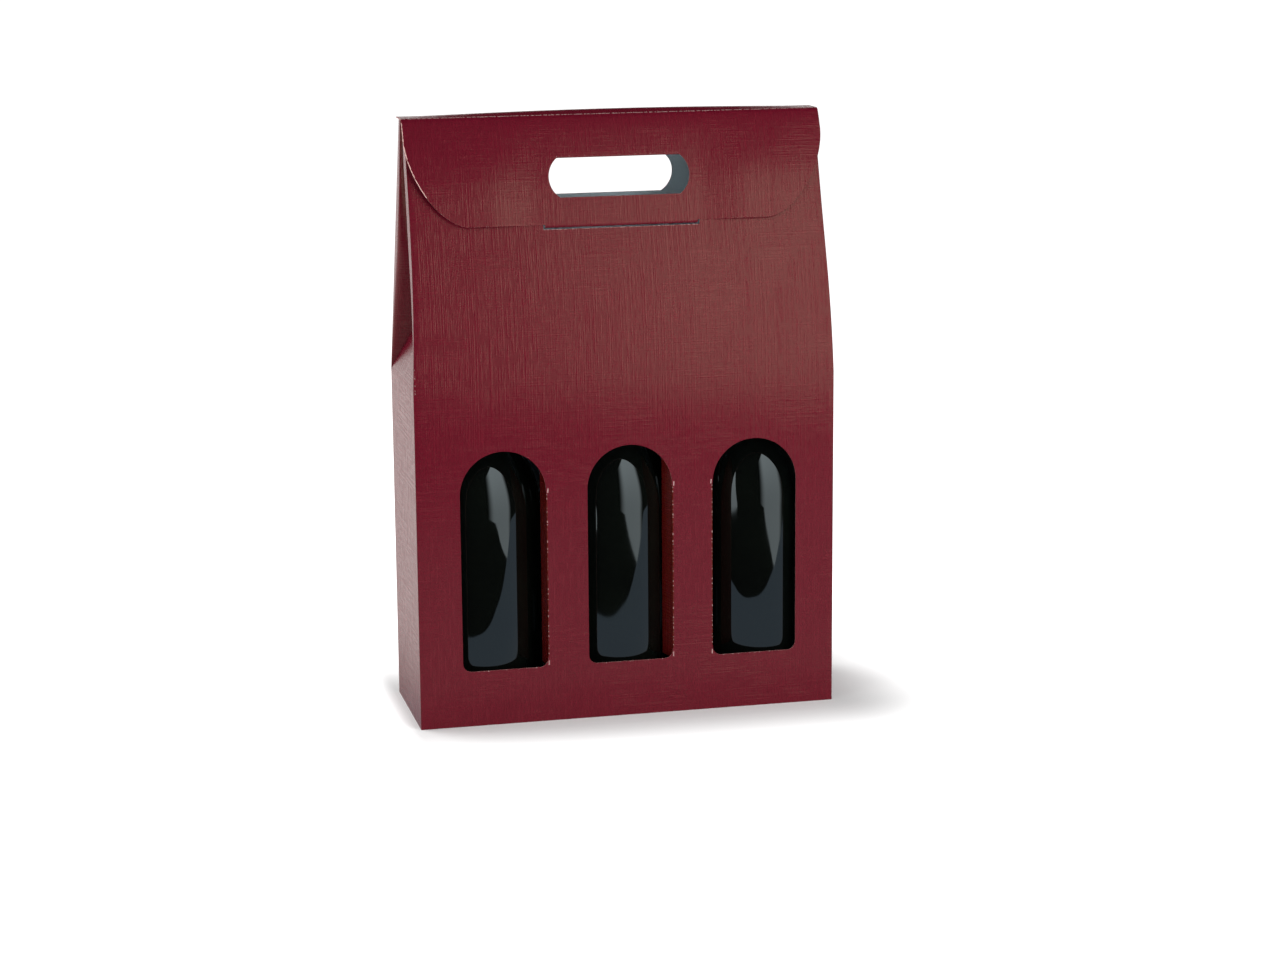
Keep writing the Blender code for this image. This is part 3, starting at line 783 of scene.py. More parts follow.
# %% Build the wings
wing_foot, wing_head = 0.006, 0.0003
wing_levels = [np.linspace(0.0, wing_foot, 5)[:-1], np.linspace(wing_foot, slope_rise - wing_head, 44)]
wing_levels = np.concatenate(wing_levels)
mouth_share = 0.93
mouth_in = side_taper + mouth_share * half_depth
straight_share, straight_most, straight_rise = 0.55, 0.0095, 0.1
bulge_share, least_gap = 0.5, 0.00002
straight_steps = np.linspace(0, 0.75, 4)
curve_steps = np.linspace(0, 1, 29)


def quadratic(start, middle, end, t):
    """A curve that leaves start towards middle and comes to end: start (1 - t) squared + middle 2 t (1 - t)
    + end t squared."""
    return start * (1 - t) ** 2 + middle * 2 * t * (1 - t) + end * t**2


def wing_points(side, end):
    """Points and board coordinates of one wing; side is -1 left or 1 right, end is -1 front or 1 back."""
    curve, waist = (front_curve, front_waist) if end < 0 else (back_curve, 0.0)
    up, t = wing_levels[:, None], curve_steps[None, :]
    start_x = width_at(shoulder + up * slope / slope_rise, waist)
    start_y = side_reach(shoulder + up, curve)
    past_tip = np.maximum(up - apex_up, 0.0) / (slope_rise - apex_up)
    end_x = half_width - np.interp(shoulder + up, side_up, side_deep) - past_tip * (mouth_in - apex_in)
    end_y = side_reach(shoulder, curve) * (1 - diagonal_place(up))
    end_y = np.minimum(np.maximum(end_y, least_gap), start_y)
    straight = np.minimum(straight_share * (start_y - end_y), straight_most * smooth_step(up / straight_rise))
    turn_y = start_y - straight
    middle_y = turn_y - bulge_share * (turn_y - end_y)
    straight_x = np.broadcast_to(start_x, (len(up), len(straight_steps)))
    x = np.concatenate([straight_x, quadratic(start_x, start_x, end_x, t)], axis=1)
    curled_y = quadratic(turn_y, middle_y, end_y, t)
    y = np.concatenate([start_y - straight * straight_steps, curled_y], axis=1)
    points = stacked(side * x, end * y, shoulder + up)
    run = np.cumsum(np.linalg.norm(np.diff(points, axis=1, prepend=points[:, :1]), axis=-1), axis=1)
    return points, stacked(-end * run, up / math.cos(lean))


for side, name in ((-1, "left"), (1, "right")):
    for end, face in ((-1, "front"), (1, "back")):
        wing = f"{name}_{face}_wing"
        sheet(wing + "_sheet", *wing_points(side, end), "carton", (wing,), outward=(side, 0, 0))

# %% [markdown]
# ## The lid
# The lid is a narrow strip over the top, arched a little, and a long front flap that bows forward
# and lies on the bowed front. The flap's corners are large and flat-topped: a superellipse, where
# the two distances are raised to a power a little under two before they are added.

# %% The lid's surface
lid_half, lid_run, lid_corner, lid_power = 0.1335, 0.0142, 0.0375, 1.68
lid_rise = crease_gap + board / 2
lid_seat = lid_rise - lid_rise * math.sin(lean)
flap_origin = np.array(joints["flap_crease"]["pos_m"])
strip_depth, strip_setback, strip_arch = 0.018, 0.0005, 0.0022
flap_bow, bow_power, corner_curl = 0.0030, 0.6, 0.0017
curl_from, curl_run, curl_down = 0.050, 0.035, 0.045
shoulder_soft = 0.020
down_the_slope = np.array([0.0, -math.sin(lean), -math.cos(lean)])
into_the_box = np.array([0.0, math.cos(lean), -math.sin(lean)])


def on_strip(x, t):
    """Outer face of the strip: t runs from the back crease (0) to the front crease (1). Its height is half
    a sine wave along t, less towards the ends."""
    y = crease_y - strip_setback - 2 * (crease_y - strip_setback) * t
    z = crease_z + lid_rise + board / 2 + strip_arch * np.sin(math.pi * t) * (1 - (x / lid_half) ** 2)
    return stacked(x, y, z)


def bow_offset(s):
    """How far the bowed front stands from one that only has a soft shoulder, at distance s below the lid's
    crease. Returns in and up."""
    place = np.array([top_crease - s])
    bowed_in, bowed_up, _ = front_curve(place)
    plain_in, plain_up, _ = bent_profile(place, [(shoulder, shoulder_soft, lean)])
    return bowed_in - plain_in, bowed_up - plain_up


def on_flap(x, s):
    """Outer face of the flap at distance s below its crease: leaning like the panel, bowed most near the
    top, its two free corners curling a millimetre or two off the panel."""
    curl = corner_curl * smooth_step((np.abs(x) - curl_from) / curl_run) * smooth_step(s / curl_down)
    bow = flap_bow * np.sin(math.pi * (s / lid_length) ** bow_power)
    out_by = lid_seat + bow + board / 2 + curl
    bow_in, bow_up = bow_offset(s)
    y = flap_origin[1] - out_by * into_the_box[1] + s * down_the_slope[1] + bow_in
    z = flap_origin[2] - out_by * into_the_box[2] + s * down_the_slope[2] + bow_up
    return stacked(x, y, z)


def lid_reach(s):
    """Half the flap's width at distance s below the crease."""
    down = np.clip((s - lid_run) / (lid_length - lid_run), 0.0, 1.0)
    return lid_half - lid_corner + lid_corner * (1 - down**lid_power) ** (1 / lid_power)


end_offset = bow_offset(lid_length)[0] * 1000
print("the flap's end lies", np.round(end_offset, 2), "mm off a flat panel's place")

# %% [markdown]
# ## The lid's grid
# Its rows run over the strip, round the crease in a small arc, and down the flap. The arc is a
# quadratic curve whose middle point is the crease's outer corner. The carrying hole has the same
# bulged ends as the one in the back.

# %% Build the lid
handle_low, handle_high = 0.0265, 0.0518
strip_end, flap_start, arc_steps = 0.95, 0.0009, 7
corner_out, corner_up = 0.00045, 0.00042
side_steps, hole_steps = 28, 24
strip_t = np.linspace(0.0, strip_end, 14)
corner_turn = np.linspace(0, quarter_turn, 40)[1:]
round_rows = lid_run + (lid_length - lid_run) * np.sin(corner_turn) ** (2 / lid_power)
flap_rows = joined_rows(
    np.linspace(flap_start, lid_run, 8),
    round_rows,
    np.linspace(handle_low, handle_high, 15),
    [lid_length - 1e-6],
)
flap_rows = flap_rows[flap_rows <= lid_length]
hole_ends = (cut_shift, handle_reach, handle_bulge)
hole_left, hole_right = bulged_edges(flap_rows, handle_low, handle_high, *hole_ends)


def lid_columns(reach, left, right):
    """Columns from edge to edge, shared between the hole's left and right side."""
    stretches = ((-reach, left, side_steps), (left, right, hole_steps), (right, reach, side_steps))
    return np.concatenate([np.linspace(a, b, steps + 1)[:-1] for a, b, steps in stretches] + [[reach]])


strip_x = lid_columns(lid_half, hole_left[0], hole_right[0])
arc_from, arc_to = on_strip(strip_x, strip_end), on_flap(strip_x, flap_start)
arc_middle = (arc_from + arc_to) / 2
arc_middle[:, 1:] = flap_origin[1] - corner_out, flap_origin[2] + corner_up
lid_rows = [(strip_x, on_strip(strip_x, t), -strip_depth * t) for t in strip_t]
for t in np.arange(1, arc_steps) / arc_steps:
    along = -strip_depth * (strip_end + (1 - strip_end) * t) - flap_start * t
    lid_rows.append((strip_x, quadratic(arc_from, arc_middle, arc_to, t), along))
for s, left, right in zip(flap_rows, hole_left, hole_right):
    x = lid_columns(float(lid_reach(s)), left, right)
    lid_rows.append((x, on_flap(x, s), -strip_depth - s))
points = np.array([row for _, row, _ in lid_rows])
uv = np.array([stacked(x, along) for x, _, along in lid_rows])
down = np.concatenate([np.full(len(lid_rows) - len(flap_rows), -1.0), flap_rows])
stretch = np.repeat([0, 1, 2], (side_steps, hole_steps, side_steps))
holes = between(down, handle_low, handle_high) & (stretch == 1)
lid = sheet("lid_sheet", points, uv, None, ("lid_strip", "lid_flap"), (0, -1, 0.3), ~holes)

# %% [markdown]
# ## The lid's finish
# The print is worn along the crease and at the top of the hole. Along the upper part of the flap's
# left edge a thin ragged rim of pale core is painted on: the core's own colour, widened as a painted
# highlight where that edge catches the light. A shader can't know how far it is from the flap's
# outline, so that distance is worked out here and stored on the mesh as an attribute.

# %% Dress the lid
worn_half, hole_line = 0.040, -strip_depth - handle_low + 0.0003
rim_clear_from, rim_clear_top = 0.050, 0.002
lid_lines = (
    (up_the_board, -strip_depth, 0.00028, 0.60, -lid_half, lid_half),
    (up_the_board, hole_line, 0.0003, 0.42, cut_shift - worn_half, cut_shift + worn_half),
)
lid_slack = (-0.0190, -0.0864, 0.0055)
lid.data.materials[0] = outer_face("lid_linen", lines=lid_lines, slack=lid_slack, lit_rim=0.00055)
corner = np.empty((len(lid.data.loops), 2), np.float32)
lid.data.uv_layers["board"].data.foreach_get("uv", corner.ravel())
below = -corner[:, 1] - strip_depth
# Distance from the flap's left edge, 2 to 50 mm below the crease; far elsewhere, so the painted pale rim
# stays on that lit edge.
from_lit_left_rim = lid_reach(below) + corner[:, 0]
elsewhere = np.clip(below - rim_clear_from, 0.0, None) + np.clip(rim_clear_top - below, 0.0, None)
lit_rim_distance = lid.data.attributes.new("lit_rim_distance", "FLOAT", "CORNER")
lit_rim_distance.data.foreach_set("value", (from_lit_left_rim + elsewhere).astype(np.float32))
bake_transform(lid)
print("the rim is within a millimetre on", int((from_lit_left_rim + elsewhere < 0.001).sum()), "corners")

# %% [markdown]
# ## Tuck tab and handle tongue
# Both are flaps that hang from a crease of the lid and are folded inside: the tab goes through the
# slot, the tongue is what was cut out of the carrying hole. The tab's fold is wide, so that its
# burgundy face fills the slot.

# %% Build the tab and the tongue
flap_lead, fold_steps, outline_start = 0.0004, 9, 0.0008
flap_columns = np.linspace(0, 1, 41)


def folded_flap(name, crease, fold, outline, radius):
    """A flap that leaves the lid's face at distance crease below the top and turns inwards by fold round a
    small radius. outline gives distances from the crease with the left and right edge there."""
    along, left, right = outline
    bend = np.linspace(0, fold, fold_steps)
    d = np.concatenate([[-flap_lead], radius * bend, radius * fold + (along - along[0])[1:]])
    angle = np.concatenate([[0.0], bend, np.full(len(along) - 1, fold)])
    downward, inward = walk_along(d, angle)
    extent = np.clip(d - radius * fold, 0.0, None) + along[0]
    left, right = np.interp(extent, along, left), np.interp(extent, along, right)
    x = left[:, None] + (right - left)[:, None] * flap_columns
    base = on_flap(np.zeros(1), crease)[0]
    line = base + inward[:, None] * into_the_box + (downward - flap_lead)[:, None] * down_the_slope
    points, uv = stacked(x, line[:, 1:2], line[:, 2:]), stacked(x, (-strip_depth - crease - d)[:, None])
    made = sheet(name + "_sheet", points, uv, None, (name,), outward=(0, 0, -1))
    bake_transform(made)


tab_length, tab_corner, tab_half, tab_taper, corner_share = 0.015, 0.007, 0.049, 0.0035, 0.9
tab_straight = tab_length - tab_corner
tab_ends = tab_straight + tab_corner * np.sin(np.linspace(0, quarter_turn, 9))[1:]
tab_d = np.concatenate([np.linspace(outline_start, tab_straight, 5), tab_ends])
tab_reach = tab_half - tab_taper * np.clip(tab_d / tab_length, 0, 1)
tab_reach = tab_reach - corner_share * rounding(tab_d - tab_straight, tab_corner)
tab_outline = (tab_d, cut_shift - tab_reach, cut_shift + tab_reach)
folded_flap("tuck_tab", lid_length, math.radians(95), tab_outline, 0.0018)

tongue_margin = 0.0005
handle_height = handle_high - handle_low
tongue_d = np.linspace(outline_start, handle_height - tongue_margin, 17)
tongue_ends = (cut_shift, handle_reach - tongue_margin, handle_bulge)
tongue_edges = bulged_edges(tongue_d, 0.0, handle_height, *tongue_ends)
folded_flap("handle_tongue", handle_low, math.radians(100), (tongue_d, *tongue_edges), 0.0007)

# %% [markdown]
# ## Window flaps
# A strip of each window's cut-out stays on, folded into the box beside the bottle. Its outline
# still shows the window's arch. The fold is a rounded bead on the window's edge, part of the flap's
# own sheet.

# %% Build the window flaps
window_flap_width, bead_lead, bead_steps, bead_clear = 0.0141, 0.0004, 8, 0.0002
window_flap_rows = np.linspace(0, 1, 61)
# Painted shade and light: the flaps inside the box get a darker, warmer copy of the burgundy for the dim warm
# light that reaches them there.
shaded_burgundy = (0.10, 0.0055, 0.0030, 1.0)


def window_flap(name, centre, side):
    """A strip folded in from one window edge: a rounded fold, then flat. At each distance from the fold it
    ends on the arch above and on the round corner below. side is the edge it hangs on."""
    pivot = np.array(joints[name + "_window_crease"]["pos_m"])
    box_low, box_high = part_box(name + "_window_flap")
    tip = box_low.x if side > 0 else box_high.x
    fold = quarter_turn - math.atan2(abs(tip - pivot[0]) - board / 2, box_high.y - pivot[1])
    edge = centre + side * window_half
    bend = np.linspace(0, fold, bead_steps)
    flat = np.linspace(0, window_flap_width - bead_lead, 15)[1:]
    along = np.concatenate([fold_shift * bend, fold_shift * fold + flat])
    across_by, inward = walk_along(along, np.concatenate([bend, np.full(len(flat), fold)]))
    away = np.clip(along - fold_shift * fold, 0.0, None)
    arch = spring + np.sqrt(np.maximum(window_half**2 - (window_half - away) ** 2, 0.0))
    corner_off = window_corner - np.minimum(away, window_corner)
    foot = window_foot + window_corner - np.sqrt(np.maximum(window_corner**2 - corner_off**2, 0.0))
    z = foot[:, None] + (arch - foot)[:, None] * window_flap_rows
    x = edge + side * (fold_shift - across_by)
    points = stacked(x[:, None], (inward - half_depth)[:, None], z)
    uv = stacked((edge - side * along)[:, None], z)
    flap = name + "_window_flap"
    made = sheet(flap + "_sheet", points, uv, None, (flap,), outward=(-side, -0.2, 0))
    fold_line = (across, edge - side * bead_lead, 0.0004, 0.45, 0.0, 1.0)
    made.data.materials[0] = outer_face(name + "_flap_linen", lines=(fold_line,), emboss=0.25,
                                        face_colour=shaded_burgundy)
    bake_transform(made)


for name, centre, hinge in zip(("left", "middle", "right"), windows, window_hinges):
    window_flap(name, centre, hinge)

# %% [markdown]
# ## Bottles, capsules and corks
# A bottle is a profile turned round an axis, so one curve and a full circle of angles give every
# point of it. The curve here is the same long shoulder as in the model, only with many more points,
# so that reflections run over it without corners. A capsule hugs the neck and the mouth, a third to
# half a millimetre outside them. The corks are hidden under the capsules and keep the model's
# solids.

# %% Turned shapes
def turned(name, profile, centre, foot, steps):
    """Turns (radius, height) points round a vertical axis: x is r cos a and y is r sin a. The profile's
    ends lie on the axis or meet."""
    angle = np.linspace(0, 2 * math.pi, steps + 1)
    radius, height = profile[:, :1], profile[:, 1:]
    points = stacked(centre + radius * np.cos(angle), radius * np.sin(angle), foot + height)
    run = np.concatenate([[0], np.cumsum(np.linalg.norm(np.diff(profile, axis=0), axis=1))])
    uv = stacked(angle / (2 * math.pi), run[:, None])
    item = new_object(name, points, grid_faces(*points.shape[:2]), uv)
    merge_doubles(item)
    item.data.shade_smooth()
    return item


def cubic(a, b, c, d, count):
    """A cubic curve from a to d that sets out towards b and comes in from c."""
    t = np.linspace(0, 1, count)[:, None]
    a, b, c, d = (np.array(p) for p in (a, b, c, d))
    return a * (1 - t) ** 3 + 3 * b * t * (1 - t) ** 2 + 3 * c * t**2 * (1 - t) + d * t**3


def ring(centre_r, centre_z, radius, start, end, count):
    """Part of a circle in the profile, from start to end in degrees."""
    angle = np.radians(np.linspace(start, end, count))
    return stacked(centre_r + radius * np.cos(angle), centre_z + radius * np.sin(angle))


def upright_line(radius, *heights):
    """Profile points at one radius."""
    return [[radius, height] for height in heights]


print("three ways to draw a profile")

# %% The bottle's profile
glass_radius, glass_height, heel, punt = 0.040, 0.270, 0.006, 0.018
shoulder_foot, shoulder_head, shoulder_share = 0.129, 0.212, 0.42
neck, mouth, lip, bore = 0.0134, 0.0137, 0.0012, 0.0093
pull = shoulder_share * (shoulder_head - shoulder_foot)
glass_profile = np.concatenate([
    [[0.0, punt]],
    cubic((0.0, punt), (0.010, punt), (0.028, 0.010), (0.031, 0.0012), 18)[1:],
    ring(0.0335, 0.0015, 0.0015, 200, 290, 6),
    ring(glass_radius - heel, heel, heel, -85, 0, 12),
    upright_line(glass_radius, *np.linspace(2 * heel, 0.127, 12)),
    cubic((glass_radius, shoulder_foot), (glass_radius, shoulder_foot + pull),
          (neck, shoulder_head - pull), (neck, shoulder_head), 40),
    upright_line(neck, 0.22, 0.24, 0.2545),
    ring(0.0131, 0.2556, 0.0006, -60, 0, 4),
    upright_line(mouth, 0.2570, 0.2685),
    ring(mouth - lip, glass_height - lip, lip, 0, 90, 5),
    [[0.0095, glass_height], [bore, 0.2694], [bore, 0.2650], [0.0, 0.2650]],
])
neck_foil, mouth_foil, foil_foot, foil_top = 0.01373, 0.01425, 0.2181, 0.2703
cap_profile = np.concatenate([
    [[0.01365, foil_foot]],
    upright_line(neck_foil, 0.2184, 0.225, 0.24, 0.2530),
    [[0.01376, 0.2538], [0.01400, 0.2550], [0.01418, 0.2558], [mouth_foil, 0.2568]],
    upright_line(mouth_foil, 0.258, 0.264, 0.2686),
    ring(mouth_foil - lip, 0.2693, lip, 0, 80, 6),
    [[0.0120, 0.27045], [0.0110, foil_top], [0.0, foil_top]],
])
print(len(glass_profile), "points on the bottle's profile and", len(cap_profile), "on the capsule's")

# %% [markdown]
# ## Glass, foil and cork
# The glass is so dark that nothing is seen through it: it is an opaque, almost black green under a
# very smooth surface, with the slow waves of blown glass. Its mirror image is slightly cool. The
# capsules are satin foil, crimped lengthwise. Cork is pale with dark pores.

# %% The glass
glass, tree, shader = new_material("bottle_glass")
place = add_node(tree, "ShaderNodeTexCoord").outputs["Object"]
waves = noise(tree, place, 30.0, 1.0)
colour = mix_colours(tree, waves, (0.0010, 0.0012, 0.0012, 1.0), (0.0026, 0.0036, 0.0026, 1.0))
set_inputs(tree, shader, Base_Color=colour, Roughness=ramp(tree, waves, 0.3, 0.7, 0.02, 0.05),
           Specular_Tint=(0.82, 0.96, 1.0, 1.0))
finish_bump(tree, shader, waves, 0.03, 0.002)
print(glass.name, "has", len(tree.nodes), "nodes")

# %% The foil and the cork
foil, tree, shader = new_material("capsule_foil_satin")
stretched = add_node(tree, "ShaderNodeMapping", Vector=board_place(tree), Scale=(60.0, 300.0, 1.0))
crimps = noise(tree, stretched.outputs[0], 1.0, 2.0)
colour = mix_colours(tree, crimps, (0.010, 0.004, 0.006, 1.0), (0.030, 0.012, 0.015, 1.0))
set_inputs(tree, shader, Base_Color=colour, Metallic=0.6, Roughness=ramp(tree, crimps, 0.3, 0.7, 0.28, 0.42))
finish_bump(tree, shader, crimps, 0.2, 0.0002)

cork, tree, shader = new_material("cork_grain")
place = add_node(tree, "ShaderNodeTexCoord").outputs["Object"]
pores = add_node(tree, "ShaderNodeTexVoronoi", Vector=place, Scale=700.0).outputs["Distance"]
patches = noise(tree, place, 250.0, 4.0)
colour = mix_colours(tree, ramp(tree, patches, 0.4, 0.65), (0.50, 0.33, 0.19, 1.0), (0.30, 0.17, 0.09, 1.0))
colour = mix_colours(tree, ramp(tree, pores, 0.0, 0.25, 0.5, 0.0), colour, (0.16, 0.08, 0.04, 1.0))
set_inputs(tree, shader, Base_Color=colour, Roughness=0.9)
finish_bump(tree, shader, pores, 0.5, 0.0002)
print("capsules of", foil.name, "over corks of", cork.name)

# %% Build the bottles
for name in ("left", "middle", "right"):
    body = name + "_bottle"
    x, _, foot = joints[body + "_turn"]["pos_m"]
    made = turned(body + "_glass", glass_profile, x, foot, 128)
    made.data.materials.append(glass)
    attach(made, body)
    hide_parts(body)
    cap = turned(name + "_capsule_foil", cap_profile, x, foot, 96)
    cap.data.materials.append(foil)
    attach(cap, body)
    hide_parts(name + "_capsule")
    stopper = nodes[name + "_cork"]
    stopper.data.materials.clear()
    stopper.data.materials.append(cork)
print("three bottles dressed")

# %% [markdown]
# ## The solids that stay as they are
# The base flaps, dust flaps and glue flap are flat plates inside or under the box, and their shape
# is right already. They only need the board's finish. A plate knows its outer side by the
# direction its face points, so one material can choose colour, inside or cut edge from the normal.

# %% Dress the carried-over plates
def plate_finish(name, outer_direction):
    """Burgundy where the face points in outer_direction, pale on the other side, cut edge elsewhere."""
    made, tree, shader = new_material(name)
    coordinates = add_node(tree, "ShaderNodeTexCoord")
    parts = add_node(tree, "ShaderNodeSeparateXYZ", Vector=coordinates.outputs["Normal"])
    axis = int(np.argmax(np.abs(outer_direction)))
    towards = maths(tree, "MULTIPLY", parts.outputs[axis], float(outer_direction[axis]))
    weave = use_group(tree, linen, Place=coordinates.outputs["Object"]).outputs
    # Painted sheen on the raised threads, as on the sheets.
    colour = mix_colours(tree, maths(tree, "MULTIPLY", weave["Tint"], 0.34), burgundy, burgundy_thread_sheen)
    colour = mix_colours(tree, maths(tree, "LESS_THAN", towards, 0.5), colour, pale_core)
    colour = mix_colours(tree, maths(tree, "LESS_THAN", towards, -0.5), colour, inner_grey)
    set_inputs(tree, shader, Base_Color=colour, Roughness=ramp(tree, towards, 0.4, 0.6, 0.75, 0.42))
    finish_bump(tree, shader, weave["Height"], 0.3, 0.0001)
    return made


base_flaps = ("front_base_flap", "back_base_flap", "left_dust_flap", "right_dust_flap")
plates = dict.fromkeys(base_flaps, plate_finish("plate_board_z", (0, 0, -1)))
plates["glue_flap"] = plate_finish("plate_board_y", (0, 1, 0))
for name, finish in plates.items():
    nodes[name].data.materials.clear()
    nodes[name].data.materials.append(finish)
print(len(plates), "plates dressed")

# %% [markdown]
# ## The studio
# The photograph was taken on a white sweep, with two tall soft boxes in front, left and right of
# the camera, and darkness between and around them: that is what the bottles mirror. The same is
# built here. The floor is plain and pale, and shines by itself away from the box; close to the box
# that glow drops, which paints a narrow shadow along its foot, narrower still on the left. A dark
# dome and a pale sheet of paper, which only reflections see, stand for the rest of the room.

# %% Stage helpers
def emitter(name, colour=(1.0, 1.0, 1.0, 1.0)):
    """A material that only glows. Returns it with its tree and its glow node."""
    made, tree, shader = new_material(name)
    tree.nodes.remove(shader)
    glow = add_node(tree, "ShaderNodeEmission", Color=colour)
    set_inputs(tree, tree.nodes["Material Output"], Surface=glow.outputs[0])
    made.cycles.emission_sampling = "NONE"
    return made, tree, glow


def flat_shape(name, corners, z):
    """One flat face of the stage, from its (x, y) corners."""
    item = new_object(name, np.array([[x, y, z] for x, y in corners]), np.arange(len(corners))[None, :])
    return item


def seen_directly(tree):
    """1 for camera, glossy and transmission rays, 0 for the rays that light things."""
    seen = add_node(tree, "ShaderNodeLightPath").outputs
    mirrored = maths(tree, "MAXIMUM", seen["Is Glossy Ray"], seen["Is Transmission Ray"])
    return maths(tree, "MAXIMUM", seen["Is Camera Ray"], mirrored)


def object_axes(tree):
    """The x, y and z outputs of the object coordinates."""
    place = add_node(tree, "ShaderNodeTexCoord").outputs["Object"]
    return add_node(tree, "ShaderNodeSeparateXYZ", Vector=place).outputs


print("stage helpers ready")

# %% The floor
floor_half, left_shadow_narrowing = 14.0, 5.0
shadow_reach, shadow_glow = 0.10, 0.10
floor_corners = floor_half * np.array([(-1, -1), (1, -1), (1, 1), (-1, 1)])
floor = flat_shape("floor", floor_corners, 0.0)
white, tree, shader = new_material("floor_white")
set_inputs(tree, shader, Base_Color=(0.80, 0.80, 0.80, 1.0), Roughness=0.9, Specular_IOR_Level=0.0)
x, y, _ = object_axes(tree)
left_of = maths(tree, "SUBTRACT", maths(tree, "MULTIPLY", x, -1.0), half_width)
right_of = maths(tree, "SUBTRACT", x, half_width)
off_side = maths(tree, "MAXIMUM", maths(tree, "MULTIPLY", left_of, left_shadow_narrowing), right_of)
off_side = maths(tree, "MAXIMUM", off_side, 0.0)
off_depth = maths(tree, "MAXIMUM", maths(tree, "SUBTRACT", maths(tree, "ABSOLUTE", y), half_depth), 0.0)
off = add_node(tree, "ShaderNodeCombineXYZ", X=off_side, Y=off_depth)
distance = add_node(tree, "ShaderNodeVectorMath", {"operation": "LENGTH"}, n0=off.outputs[0]).outputs["Value"]
# Painted shadow: the floor's glow is weakest at the box's foot and full ten centimetres away, sooner on the
# left.
glow_beyond_painted_shadow = ramp(tree, distance, 0.0, shadow_reach, shadow_glow, 1.0)
set_inputs(tree, shader, Emission_Color=(1.0, 1.0, 1.0, 1.0),
           Emission_Strength=maths(tree, "MULTIPLY", seen_directly(tree), glow_beyond_painted_shadow))
floor.data.materials.append(white)
floor.visible_glossy = False
print("floor", 2 * floor_half, "m wide")

# %% [markdown]
# ## What only the reflections see
# The sheet of paper is the table as the bottles mirror it, a painted reflection of the lit table. Its
# front edge is bent, because the photo's bottles show where the bright table ends in front of the box.
# It is dimmer and cooler in front, and carries a painted shadow where the box stands on it. The dome
# is nearly black, but for a glow low down behind the box, where the sweep rises.

# %% The table as the bottles mirror it
table_front = ((0.7, -0.45), (0.35, -0.38), (0.2, -0.35), (0.11, -0.328), (0.02, -0.305), (-0.06, -0.275),
               (-0.15, -0.245), (-0.23, -0.205), (-0.5, -0.05))
table_half, just_above = 3.0, 0.0002
table_back = ((table_half, table_half), (table_half, table_front[0][1]))
table_left = ((-table_half, table_front[-1][1]), (-table_half, table_half))
table = flat_shape("table_seen_in_gloss", table_back + table_front + table_left, just_above)
table_glow, tree, glow = emitter("table_glow")
x, y, _ = object_axes(tree)
beside = maths(tree, "SUBTRACT", maths(tree, "ABSOLUTE", x), half_width)
clear_of_foot = maths(tree, "ADD", beside, ramp(tree, y, -0.20, -0.09, 1.0, 0.0))
# Painted shadow of the box in the mirrored table: half as bright at its foot, full 4.5 cm away.
painted_foot_shade = ramp(tree, clear_of_foot, 0.0, 0.045, 0.5, 1.0)
backward = ramp(tree, y, -0.2, 0.25, 0.78, 1.06)
cool, warm = (0.74, 0.84, 1.0, 1.0), (1.0, 0.92, 0.90, 1.0)
set_inputs(tree, glow, Strength=maths(tree, "MULTIPLY", backward, painted_foot_shade),
           Color=mix_colours(tree, ramp(tree, y, -0.2, 0.1), cool, warm))
table.data.materials.append(table_glow)
print("the table's front edge has", len(table_front), "points")

# %% The dark dome
dome_radius, dome_rows, dome_columns = 6.0, 25, 49
turn = np.linspace(0, 2 * math.pi, dome_columns)
rise = np.linspace(-quarter_turn, quarter_turn, dome_rows)[:, None]
dome_points = dome_radius * stacked(np.cos(rise) * np.cos(turn), np.cos(rise) * np.sin(turn), np.sin(rise))
dome = new_object("dark_room", dome_points, grid_faces(dome_rows, dome_columns)[:, ::-1])
merge_doubles(dome, 1e-4)
room, tree, glow = emitter("room_dark", colour=(1.0, 0.98, 0.96, 1.0))
_, y, z = object_axes(tree)
dark_glow, sweep_glow = 0.02, 1.2
rear, low_down = ramp(tree, y, 0.5, 2.5), ramp(tree, z, 0.8, 2.4, 1.0, 0.0)
sweep = maths(tree, "MULTIPLY", maths(tree, "MULTIPLY", rear, low_down), sweep_glow)
set_inputs(tree, glow, Strength=maths(tree, "ADD", dark_glow, sweep))
dome.data.materials.append(room)
for item in (table, dome):
    item.visible_camera = item.visible_transmission = item.visible_diffuse = item.visible_shadow = False
print("stage:", [item.name for item in (floor, table, dome)])

# %% The white world
world_light = 0.16
world = bpy.data.worlds.new("white_sweep")
bpy.context.scene.world = world
world.use_nodes = True
tree = world.node_tree
backdrop = maths(tree, "ADD", maths(tree, "MULTIPLY", seen_directly(tree), 1.0 - world_light), world_light)
set_inputs(tree, tree.nodes["Background"], Color=(1.0, 1.0, 1.0, 1.0), Strength=backdrop)
print("world light", world_light)

# %% [markdown]
# ## Soft boxes and fills
# A soft box is a glowing rectangle here and not an area lamp, because a material can fade its glow
# towards an edge, as the real ones do. The sloping front mirrors the right one as a sheen, the side
# and the bottles mirror the left one. Three weak fills light the box from where the photo's shadows
# say. They have no mirror image of their own.

